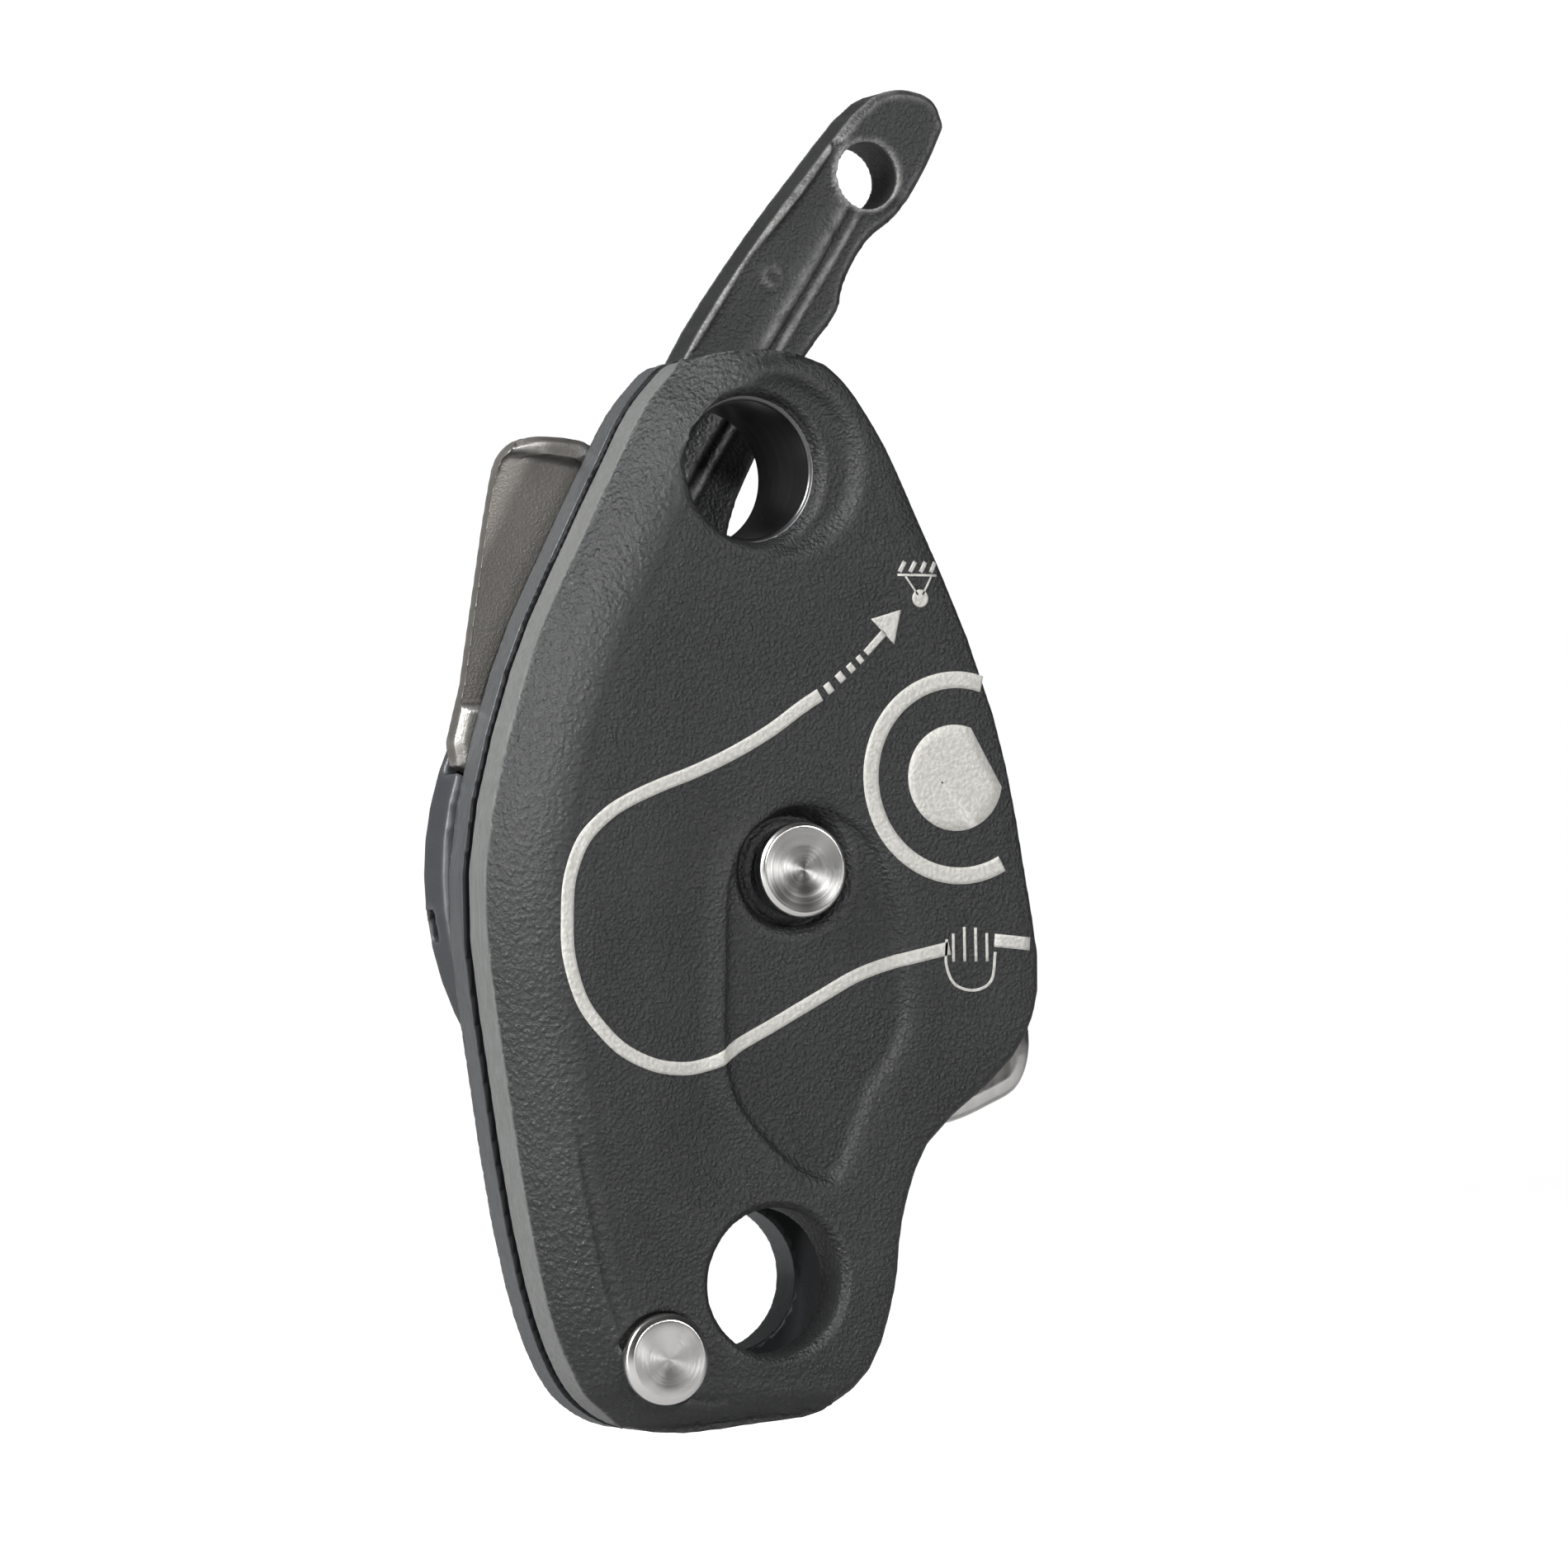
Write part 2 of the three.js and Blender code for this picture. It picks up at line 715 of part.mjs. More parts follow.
function handleOutline() {
  const right = curveThrough([
    [axle, hubRadius * Math.cos(radians(72)), hubRadius * Math.sin(radians(72))],
    [axle, 1.5, 29],
    [axle, 2.9, 43.7],
    [axle, 6.8, 52.3],
    [axle, 14, 65.2],
    [axle, 18.5, 71],
    [axle, 19.4, 74.4],
    [axle, 22.8, 80],
    [axle, 27.1, 83.5],
    [axle, 31.3, 89.7],
    [axle, 33.9, 95],
  ]);
  const left = curveThrough([
    [axle, 33.9, 95],
    [axle, 32.4, 98.2],
    [axle, 28.2, 99.4],
    [axle, 23.8, 98.2],
    [axle, 15, 88.7],
    [axle, 5, 76.2],
    [axle, -3, 64.2],
    [axle, -8.8, 50.2],
    [axle, -14.3, 36.2],
    [axle, -17, 22],
    [axle, hubRadius * Math.cos(radians(160)), hubRadius * Math.sin(radians(160))],
  ]);
  const shape = new THREE.Shape([...right, ...left.slice(1, -1)]);
  shape.absarc(axle.x, axle.z, hubRadius, radians(160), radians(360 + 66), false);
  return shape;
}

// Sunken panel along the front of the arm.
function handlePanel() {
  return loopThrough([
    [axle, 1.6, 66],
    [axle, 8.4, 65.6],
    [axle, 12.6, 71.5],
    [axle, 17.5, 79.6],
    [axle, 16.9, 84.4],
    [axle, 9, 76],
  ]);
}

function handle() {
  let body = prism(handleOutline(), armFront, hubBack, { across: 0.8, deep: 0.8, steps: 1 });
  body = body.subtract(bar(axle, sweepRadius, armFront - 1, hubFront, 56));
  const holePlace = { x: axle.x + cordHolePlace.x, z: axle.z + cordHolePlace.z };
  body = body.subtract(bar(holePlace, cordHole, armFront - 1, hubBack + 1, 32));
  body = body.subtract(prism(handlePanel(), armFront - 1, armFront + 0.9));
  body = body.subtract(bar(axle, axleRadius + 2 * fit + bushWall, hubFront - 1, hubBack + 1));
  const dogPlace = around(axle, slotRadius, dogAngle);
  return body.subtract(bar(dogPlace, dogRadius + fit, hubFront - 1, hubBack + 1, 20));
}

function handleBush() {
  const ring = bar(axle, axleRadius + fit + bushWall, hubFront, hubBack);
  return ring.subtract(bar(axle, axleRadius + fit, hubFront - 1, hubBack + 1));
}

function driveDog() {
  const place = around(axle, slotRadius, dogAngle);
  return bar(place, dogRadius, leverFront + 1, hubBack - 0.2, 20);
}

function handleSpring() {
  return coil(axle, slotRadius - dogRadius - 4.4, 1.5, leverBack + 1, housingInside - 1, 1);
}

// ---- Assembly ----

const darkCasting = { color: 0x33363a, roughness: 0.62, metalness: 0.2 };
const satinPlate = { color: 0x4b5055, roughness: 0.45, metalness: 0.55 };
const castSteel = { color: 0x8e8a82, roughness: 0.5, metalness: 0.8 };
const stainless = { color: 0xc9c8c4, roughness: 0.25, metalness: 1 };
const bronze = { color: 0xa8844f, roughness: 0.4, metalness: 0.9 };
const springSteel = { color: 0x6f7276, roughness: 0.35, metalness: 0.9 };
const blackHandle = { color: 0x26282a, roughness: 0.6, metalness: 0.15 };

const device = new THREE.Group();

// Adds one named piece to a group.
function place(group, name, manifold, finish) {
  const mesh = new THREE.Mesh(geometryOf(manifold), new THREE.MeshStandardMaterial(finish));
  mesh.name = name;
  group.add(mesh);
}

const frame = new THREE.Group();
device.add(frame);
place(frame, "rear_plate", rearPlate(), satinPlate);
place(frame, "upper_eye_tube", upperEyeTube(), satinPlate);
place(frame, "main_axle", mainAxle(), stainless);
place(frame, "axle_bush", axleBush(), bronze);
place(frame, "axle_washer", axleWasher(), stainless);
place(frame, "axle_nut", axleNut(), stainless);
place(frame, "pivot_stud", pivotStud(), stainless);
place(frame, "pivot_spacer", pivotSpacer(), satinPlate);
place(frame, "pivot_washer", pivotWasher(), bronze);
place(frame, "pivot_nut", pivotNut(), stainless);
place(frame, "brake_shoe", brakeShoe(), stainless);
shoeRivetPlaces.forEach((spot, i) => place(frame, "shoe_rivet_" + (i + 1), shoeRivet(spot), stainless));
place(frame, "rear_housing", rearHousing(), satinPlate);
screwAngles.forEach((angle, i) => place(frame, "housing_screw_" + (i + 1), housingScrew(angle), stainless));

const door = new THREE.Group();
device.add(door);
place(door, "side_plate", sidePlate(), darkCasting);
place(door, "press_button", pressButton(), stainless);
place(door, "button_clip", buttonClip(), springSteel);
place(door, "button_spring", buttonSpring(), springSteel);

const camGroup = new THREE.Group();
device.add(camGroup);
place(camGroup, "brake_cam", brakeCam(), castSteel);
place(camGroup, "thumb_lever", thumbLever(), castSteel);
place(camGroup, "cam_spring", camSpring(), springSteel);

const handleGroup = new THREE.Group();
device.add(handleGroup);
place(handleGroup, "handle", handle(), blackHandle);
place(handleGroup, "handle_bush", handleBush(), bronze);
place(handleGroup, "drive_dog", driveDog(), stainless);
place(handleGroup, "handle_spring", handleSpring(), springSteel);

export default device;
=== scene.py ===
import bpy
import bmesh
import numpy as np
from mathutils import Matrix, Vector


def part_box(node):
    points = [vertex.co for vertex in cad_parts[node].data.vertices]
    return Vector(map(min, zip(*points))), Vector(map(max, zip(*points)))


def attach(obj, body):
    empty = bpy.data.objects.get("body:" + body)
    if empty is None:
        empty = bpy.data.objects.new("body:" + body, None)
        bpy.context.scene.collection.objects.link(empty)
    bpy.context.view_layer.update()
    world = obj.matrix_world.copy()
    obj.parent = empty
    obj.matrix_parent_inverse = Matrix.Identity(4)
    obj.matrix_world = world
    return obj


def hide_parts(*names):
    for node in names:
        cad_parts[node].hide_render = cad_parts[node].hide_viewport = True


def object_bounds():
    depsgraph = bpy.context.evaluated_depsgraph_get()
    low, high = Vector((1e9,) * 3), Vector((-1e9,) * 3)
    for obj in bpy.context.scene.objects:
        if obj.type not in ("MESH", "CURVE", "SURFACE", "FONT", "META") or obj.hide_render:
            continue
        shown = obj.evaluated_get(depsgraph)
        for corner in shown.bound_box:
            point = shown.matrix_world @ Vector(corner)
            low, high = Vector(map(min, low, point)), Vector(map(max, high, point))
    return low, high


# Rope descender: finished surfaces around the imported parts. Lengths in the tables below are millimetres.
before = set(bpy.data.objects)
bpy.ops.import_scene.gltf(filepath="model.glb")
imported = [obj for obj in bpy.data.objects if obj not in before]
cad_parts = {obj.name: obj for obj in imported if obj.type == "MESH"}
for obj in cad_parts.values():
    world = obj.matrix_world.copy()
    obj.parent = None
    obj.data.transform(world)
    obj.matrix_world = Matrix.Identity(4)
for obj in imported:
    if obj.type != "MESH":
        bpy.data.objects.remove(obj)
cadLow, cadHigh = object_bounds()
mm = 0.001

# Main places, as X and Z: lower eye, upper eye, axle of cam and handle, pivot of the side plate.
places = {"eye": (0.0, 0.0), "upper": (-1.3, 98.6), "axle": (3.5, 49.8), "pivot": (-15.2, -8.7), "shoe": (28.0, 27.0)}
faceY = -9.5  # the side plate's face


# Anchors (place, dx, dz) as an array of X and Z
def placed(anchors):
    return np.array([(places[p][0] + dx, places[p][1] + dz) for p, dx, dz in anchors], float)


# Curve through points: each span is a cubic whose end slopes are half the chord between the neighbours
def smoothCurve(points, perSpan=12, closed=False):
    p = np.asarray(points, float)
    n = len(p)
    if closed:
        before, start, end, after = np.roll(p, 1, 0), p, np.roll(p, -1, 0), np.roll(p, -2, 0)
    else:
        q = np.vstack([2 * p[0] - p[1], p, 2 * p[-1] - p[-2]])
        before, start, end, after = q[: n - 1], q[1:n], q[2 : n + 1], q[3 : n + 2]
    t = np.linspace(0, 1, perSpan, endpoint=False)[None, :, None]
    slopeA, slopeB = (end - before)[:, None] / 2, (after - start)[:, None] / 2
    a, b = start[:, None], end[:, None]
    curve = (2 * t**3 - 3 * t**2 + 1) * a + (t**3 - 2 * t**2 + t) * slopeA
    curve = curve + (3 * t**2 - 2 * t**3) * b + (t**3 - t**2) * slopeB
    curve = curve.reshape(-1, p.shape[1])
    return curve if closed else np.vstack([curve, p[-1]])


# Distance of each point to a polyline, and the nearest point on it
def lineDistance(xz, line):
    a, b = line[:-1], line[1:]
    ab = b - a
    rel = xz[:, None] - a[None]
    t = np.clip((rel * ab).sum(2) / np.maximum((ab * ab).sum(1), 1e-12), 0, 1)
    near = a[None] + t[..., None] * ab
    d = np.linalg.norm(xz[:, None] - near, axis=2)
    k = d.argmin(1)
    rows = np.arange(len(xz))
    return d[rows, k], near[rows, k]


# True where a point lies inside a closed loop, by counting the crossings to its right
def insideLoop(xz, loop):
    a, b = loop, np.roll(loop, -1, 0)
    x, z = xz[:, :1], xz[:, 1:]
    spans = (a[:, 1] > z) != (b[:, 1] > z)
    rise = np.where(np.abs(b[:, 1] - a[:, 1]) < 1e-9, 1e-9, b[:, 1] - a[:, 1])
    cross = a[:, 0] + (z - a[:, 1]) / rise * (b[:, 0] - a[:, 0])
    return (spans & (x < cross)).sum(1) % 2 == 1


# Smooth step from 0 at low to 1 at high
def ramp(value, low, high):
    t = np.clip((value - low) / (high - low), 0, 1)
    return t * t * (3 - 2 * t)


# Bell curve of height 1
def bump(value, centre, width):
    return np.exp(-(((value - centre) / width) ** 2))


def coordinates(mesh):
    co = np.empty(len(mesh.vertices) * 3, np.float32)
    mesh.vertices.foreach_get("co", co)
    return co.reshape(-1, 3).astype(float) / mm


def setCoordinates(mesh, co):
    mesh.vertices.foreach_set("co", (co * mm).astype(np.float32).ravel())
    mesh.update()


def vertexNormals(mesh):
    n = np.empty(len(mesh.vertices) * 3, np.float32)
    mesh.vertices.foreach_get("normal", n)
    return n.reshape(-1, 3).astype(float)


def edgePairs(mesh):
    e = np.empty(len(mesh.edges) * 2, np.int32)
    mesh.edges.foreach_get("vertices", e)
    return e.reshape(-1, 2)


# Mean of each vertex's neighbours
def neighbourMean(values, edges, count):
    a, b = edges[:, 0], edges[:, 1]
    degree = np.maximum(np.bincount(a, minlength=count) + np.bincount(b, minlength=count), 1)
    columns = values.reshape(count, -1)
    total = [
        np.bincount(a, columns[b, k], minlength=count) + np.bincount(b, columns[a, k], minlength=count)
        for k in range(columns.shape[1])
    ]
    return (np.stack(total, 1) / degree[:, None]).reshape(values.shape)


# Smooths in pairs of steps, one towards the neighbours' mean and one away, so the volume stays
def relaxed(co, edges, rounds, keep=None):
    for _ in range(rounds):
        for share in (0.5, -0.52):
            move = share * (neighbourMean(co, edges, len(co)) - co)
            if keep is not None:
                move = move * (1 - keep)[:, None]
            co = co + move
    return co


# Attribute edge: how far each vertex stands out over its neighbours' mean along its normal, 0 to 1
def writeEdgeMask(mesh, gain):
    co, normals, edges = coordinates(mesh), vertexNormals(mesh), edgePairs(mesh)
    out = ((co - neighbourMean(co, edges, len(co))) * normals).sum(1)
    for _ in range(2):
        out = 0.5 * out + 0.5 * neighbourMean(out, edges, len(co))
    attribute = mesh.attributes.get("edge") or mesh.attributes.new("edge", "FLOAT", "POINT")
    attribute.data.foreach_set("value", np.clip(out * gain, 0, 1).astype(np.float32))


def writeMask(mesh, name, values):
    attribute = mesh.attributes.get(name) or mesh.attributes.new(name, "FLOAT", "POINT")
    attribute.data.foreach_set("value", np.asarray(values, np.float32))


def newObject(name, mesh):
    piece = bpy.data.objects.new(name, mesh)
    bpy.context.scene.collection.objects.link(piece)
    return piece


# A CAD node's mesh with its loose triangles merged
def mergedCopy(node, name):
    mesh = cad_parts[node].data.copy()
    mesh.materials.clear()
    for attribute in [a.name for a in mesh.attributes if a.name == "custom_normal"]:
        mesh.attributes.remove(mesh.attributes[attribute])
    work = bmesh.new()
    work.from_mesh(mesh)
    bmesh.ops.remove_doubles(work, verts=work.verts, dist=2e-6)
    bmesh.ops.recalc_face_normals(work, faces=work.faces)
    work.to_mesh(mesh)
    work.free()
    return newObject(name, mesh)


# Ends of the edges whose two faces differ by more than an angle
def sharpSegments(mesh, degrees):
    loopEdge = np.empty(len(mesh.loops), np.int32)
    mesh.loops.foreach_get("edge_index", loopEdge)
    sizes = np.empty(len(mesh.polygons), np.int32)
    mesh.polygons.foreach_get("loop_total", sizes)
    normal = np.empty(len(mesh.polygons) * 3, np.float32)
    mesh.polygons.foreach_get("normal", normal)
    face = np.repeat(np.arange(len(sizes)), sizes)
    order = np.argsort(loopEdge, kind="stable")
    same = loopEdge[order][:-1] == loopEdge[order][1:]
    one, two = order[:-1][same], order[1:][same]
    normal = normal.reshape(-1, 3)
    turn = np.degrees(np.arccos(np.clip((normal[face[one]] * normal[face[two]]).sum(1), -1, 1)))
    ends = edgePairs(mesh)[loopEdge[one][turn > degrees]]
    co = coordinates(mesh)
    return co[ends[:, 0]], co[ends[:, 1]]


# Moves the vertices marked near onto the closest sharp edge within reach, so that edges run straight
def ontoEdges(co, starts, ends, reach, near):
    index = np.flatnonzero(near)
    along = ends - starts
    for part in np.array_split(index, max(1, len(index) // 1500)):
        rel = co[part][:, None] - starts[None]
        t = np.clip((rel * along).sum(2) / np.maximum((along * along).sum(1), 1e-12), 0, 1)
        foot = starts[None] + t[..., None] * along
        gap = np.linalg.norm(co[part][:, None] - foot, axis=2)
        k = gap.argmin(1)
        rows = np.arange(len(part))
        co[part] = np.where((gap[rows, k] < reach)[:, None], foot[rows, k], co[part])
    return co


# A CAD node as an even mesh of small squares, drawn onto the node's sharp edges and relaxed a little
def remeshed(node, name, voxel, rounds):
    piece = mergedCopy(node, name)
    grid = piece.modifiers.new("grid", "REMESH")
    grid.mode = "VOXEL"
    grid.voxel_size = voxel * mm
    grid.use_smooth_shade = True
    graph = bpy.context.evaluated_depsgraph_get()
    mesh = bpy.data.meshes.new_from_object(piece.evaluated_get(graph))
    starts, ends = sharpSegments(piece.data, 38)
    piece.modifiers.clear()
    piece.data = mesh
    mesh.name = name
    co, edges = coordinates(mesh), edgePairs(mesh)
    bend = np.linalg.norm(co - neighbourMean(co, edges, len(co)), axis=1)
    co = ontoEdges(co, starts, ends, voxel * 0.75, bend > voxel * 0.05)
    setCoordinates(mesh, relaxed(co, edges, rounds))
    return piece


def smoothShaded(mesh):
    mesh.polygons.foreach_set("use_smooth", np.ones(len(mesh.polygons), bool))
    mesh.update()


# Hands a piece over: its material, its body and the CAD nodes it stands for
def finished(piece, body, slot, material, *nodes):
    piece.data.materials.clear()
    piece.data.materials.append(material)
    smoothShaded(piece.data)
    if nodes:
        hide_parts(*nodes)
    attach(piece, body)
    return piece


# A profile with each inner corner replaced by a short parabola that starts and ends reach away from it
def roundedProfile(points, reach=0.3, steps=4):
    p = np.asarray(points, float)
    before, corner, after = p[:-2], p[1:-1], p[2:]
    back, onward = before - corner, after - corner
    lengthBack, lengthOn = np.linalg.norm(back, axis=1), np.linalg.norm(onward, axis=1)
    a = corner + back * (np.minimum(reach, lengthBack * 0.45) / lengthBack)[:, None]
    b = corner + onward * (np.minimum(reach, lengthOn * 0.45) / lengthOn)[:, None]
    t = np.linspace(0, 1, steps)[None, :, None]
    arcs = (1 - t) ** 2 * a[:, None] + 2 * t * (1 - t) * corner[:, None] + t**2 * b[:, None]
    return np.vstack([p[:1], arcs.reshape(-1, 2), p[-1:]])


# A profile of (radius, y) carried round the Y axis through a place: x = r cos a, z = r sin a. The profile is
# closed, or starts and ends on the axis. UV runs round the axis and along the profile
def lathe(name, place, profile, sides=96):
    p = np.asarray(profile, float)
    closed = np.allclose(p[0], p[-1])
    if closed:
        p = p[:-1]
    angle = np.arange(sides) / sides * 2 * np.pi
    poleFront, poleBack = p[0, 0] < 1e-9, p[-1, 0] < 1e-9
    rings = p[int(poleFront) : len(p) - int(poleBack)]
    x = places[place][0] + rings[:, :1] * np.cos(angle)
    z = places[place][1] + rings[:, :1] * np.sin(angle)
    y = np.repeat(rings[:, 1:], sides, 1)
    co = np.stack([x, y, z], 2).reshape(-1, 3)
    i = np.arange(len(rings) if closed else len(rings) - 1)[:, None]
    j = np.arange(sides)[None]
    nextI, nextJ = (i + 1) % len(rings), (j + 1) % sides
    quads = np.stack([i * sides + j, nextI * sides + j, nextI * sides + nextJ, i * sides + nextJ], 2).reshape(-1, 4)
    u = np.broadcast_to(j / sides, (len(i), sides))
    v = np.broadcast_to(i / len(rings), (len(i), sides))
    du, dv = 1 / sides, 1 / len(rings)
    uv = np.stack([np.stack([u, v], 2), np.stack([u, v + dv], 2), np.stack([u + du, v + dv], 2),
        np.stack([u + du, v], 2)], 2)
    faces, uvs = quads.tolist(), uv.reshape(-1, 2).tolist()
    ring = np.arange(sides)
    if poleFront:
        pole = len(co)
        co = np.vstack([co, [places[place][0], p[0, 1], places[place][1]]])
        faces += np.stack([np.full(sides, pole), ring, (ring + 1) % sides], 1).tolist()
        uvs += np.stack([np.stack([(ring + 0.5) / sides, ring * 0], 1),
            np.stack([ring / sides, ring * 0 + dv], 1), np.stack([(ring + 1) / sides, ring * 0 + dv], 1)],
            1).reshape(-1, 2).tolist()
    if poleBack:
        pole, last = len(co), (len(rings) - 1) * sides
        co = np.vstack([co, [places[place][0], p[-1, 1], places[place][1]]])
        faces += np.stack([np.full(sides, pole), last + (ring + 1) % sides, last + ring], 1).tolist()
        uvs += np.stack([np.stack([(ring + 0.5) / sides, ring * 0 + 1], 1),
            np.stack([(ring + 1) / sides, ring * 0 + 1 - dv], 1), np.stack([ring / sides, ring * 0 + 1 - dv],
            1)], 1).reshape(-1, 2).tolist()
    mesh = bpy.data.meshes.new(name)
    mesh.from_pydata((co * mm).tolist(), [], faces)
    layer = mesh.uv_layers.new(name="turning")
    layer.data.foreach_set("uv", np.array(uvs, np.float32).ravel())
    mesh.update()
    work = bmesh.new()
    work.from_mesh(mesh)
    if work.calc_volume(signed=True) < 0:
        bmesh.ops.reverse_faces(work, faces=work.faces)
    work.to_mesh(mesh)
    work.free()
    return newObject(name, mesh)


# A round wire carried along a helix about the Y axis, with the wire's circle spanned by the radial and the Y
# direction; the pitch eases off towards both ends
def wireCoil(name, place, radius, wire, front, back, turns, sides=14):
    steps = int(turns * 48)
    t = np.linspace(0, 1, steps + 1)
    angle = t * turns * 2 * np.pi
    y = front + (back - front) * ramp(t, 0.0, 1.0) * 0.5 + (back - front) * t * 0.5
    around = np.arange(sides) / sides * 2 * np.pi
    r = radius + wire / 2 * np.cos(around)[None]
    x = places[place][0] + r * np.cos(angle)[:, None]
    z = places[place][1] + r * np.sin(angle)[:, None]
    deep = y[:, None] + wire / 2 * np.sin(around)[None]
    co = np.stack([x, deep, z], 2).reshape(-1, 3)
    i, j = np.arange(steps)[:, None], np.arange(sides)[None]
    nextJ = (j + 1) % sides
    faces = np.stack([i * sides + j, i * sides + nextJ, (i + 1) * sides + nextJ, (i + 1) * sides + j], 2)
    faces = faces.reshape(-1, 4).tolist()
    faces += [list(range(sides - 1, -1, -1)), list(range(steps * sides, (steps + 1) * sides))]
    mesh = bpy.data.meshes.new(name)
    mesh.from_pydata((co * mm).tolist(), [], faces)
    mesh.update()
    work = bmesh.new()
    work.from_mesh(mesh)
    bmesh.ops.recalc_face_normals(work, faces=work.faces)
    work.to_mesh(mesh)
    work.free()
    return newObject(name, mesh)


def newGroup(name, inputs, outputs):
    group = bpy.data.node_groups.new(name, "ShaderNodeTree")
    for label, kind, value in inputs:
        socket = group.interface.new_socket(name=label, in_out="INPUT", socket_type=kind)
        socket.default_value = value
    for label, kind in outputs:
        group.interface.new_socket(name=label, in_out="OUTPUT", socket_type=kind)
    return group, group.nodes.new("NodeGroupInput"), group.nodes.new("NodeGroupOutput")


def mathNode(tree, operation, a, b=None, clamp=False):
    node = tree.nodes.new("ShaderNodeMath")
    node.operation = operation
    node.use_clamp = clamp
    for socket, value in zip(node.inputs, (a, b)):
        if value is None:
            continue
        if isinstance(value, (int, float)):
            socket.default_value = value
        else:
            tree.links.new(value, socket)
    return node.outputs[0]


def noiseNode(tree, vector, scale, detail=3.0, rough=0.55):
    node = tree.nodes.new("ShaderNodeTexNoise")
    tree.links.new(vector, node.inputs["Vector"])
    if isinstance(scale, (int, float)):
        node.inputs["Scale"].default_value = scale
    else:
        tree.links.new(scale, node.inputs["Scale"])
    node.inputs["Detail"].default_value = detail
    node.inputs["Roughness"].default_value = rough
    return node.outputs["Fac"]


def rangeNode(tree, value, low, high, toLow=0.0, toHigh=1.0):
    node = tree.nodes.new("ShaderNodeMapRange")
    tree.links.new(value, node.inputs["Value"])
    for label, number in (("From Min", low), ("From Max", high), ("To Min", toLow), ("To Max", toHigh)):
        if isinstance(number, (int, float)):
            node.inputs[label].default_value = number
        else:
            tree.links.new(number, node.inputs[label])
    return node.outputs["Result"]


def mixColour(tree, fac, a, b):
    node = tree.nodes.new("ShaderNodeMix")
    node.data_type = "RGBA"
    tree.links.new(fac, node.inputs["Factor"])
    for socket, value in ((node.inputs["A"], a), (node.inputs["B"], b)):
        if isinstance(value, (tuple, list)):
            socket.default_value = (*value, 1.0)
        else:
            tree.links.new(value, socket)
    return node.outputs["Result"]


def objectPlace(tree):
    return tree.nodes.new("ShaderNodeTexCoord").outputs["Object"]


# Cast skin: rounded pebbles of one size over a finer grain. Height is 0 to 1, Speck marks the highest pebbles
def makeGrainGroup():
    group, entry, leave = newGroup(
        "castGrain",
        [("Pebble", "NodeSocketFloat", 1.0), ("Coarse Share", "NodeSocketFloat", 0.0)],
        [("Height", "NodeSocketFloat"), ("Speck", "NodeSocketFloat")],
    )
    place = objectPlace(group)

    def pebbles(scale):
        cells = group.nodes.new("ShaderNodeTexVoronoi")
        cells.feature = "SMOOTH_F1"
        cells.inputs["Smoothness"].default_value = 0.7
        warp = group.nodes.new("ShaderNodeTexNoise")
        group.links.new(place, warp.inputs["Vector"])
        warp.inputs["Scale"].default_value = 900.0
        shift = group.nodes.new("ShaderNodeVectorMath")
        shift.operation = "MULTIPLY_ADD"
        group.links.new(warp.outputs["Color"], shift.inputs[0])
        shift.inputs[1].default_value = (0.0007, 0.0007, 0.0007)
        group.links.new(place, shift.inputs[2])
        group.links.new(shift.outputs[0], cells.inputs["Vector"])
        group.links.new(mathNode(group, "DIVIDE", scale, entry.outputs["Pebble"]), cells.inputs["Scale"])
        return mathNode(group, "SUBTRACT", 1.0, cells.outputs["Distance"], clamp=True)

    fine = noiseNode(group, place, mathNode(group, "DIVIDE", 2100.0, entry.outputs["Pebble"]), 4.0, 0.6)
    small, large = pebbles(1900.0), pebbles(1250.0)
    share = entry.outputs["Coarse Share"]
    less = mathNode(group, "SUBTRACT", 1.0, share)
    both = mathNode(group, "ADD", mathNode(group, "MULTIPLY", small, less), mathNode(group, "MULTIPLY", large, share))
    rough = rangeNode(group, fine, 0.32, 0.68)
    rounded = rangeNode(group, both, 0.35, 0.95)
    height = mathNode(group, "ADD", mathNode(group, "MULTIPLY", rounded, 0.6),
        mathNode(group, "MULTIPLY", rough, 0.4))
    group.links.new(height, leave.inputs["Height"])
    group.links.new(rangeNode(group, height, 0.62, 0.95), leave.inputs["Speck"])
    return group


# Edge wear: the edge attribute broken up by noise, so that rubbed metal shows in patches
def makeWearGroup():
    group, entry, leave = newGroup(
        "edgeWear",
        [("Amount", "NodeSocketFloat", 1.0), ("Patch", "NodeSocketFloat", 1.0)],
        [("Wear", "NodeSocketFloat")],
    )
    place = objectPlace(group)
    edge = group.nodes.new("ShaderNodeAttribute")
    edge.attribute_name = "edge"
    patch = noiseNode(group, place, mathNode(group, "DIVIDE", 260.0, entry.outputs["Patch"]), 5.0, 0.65)
    broken = rangeNode(group, patch, 0.35, 0.7, 0.35, 1.0)
    worn = mathNode(group, "MULTIPLY", mathNode(group, "MULTIPLY", edge.outputs["Fac"], broken),
        entry.outputs["Amount"], clamp=True)
    group.links.new(worn, leave.inputs["Wear"])
    return group


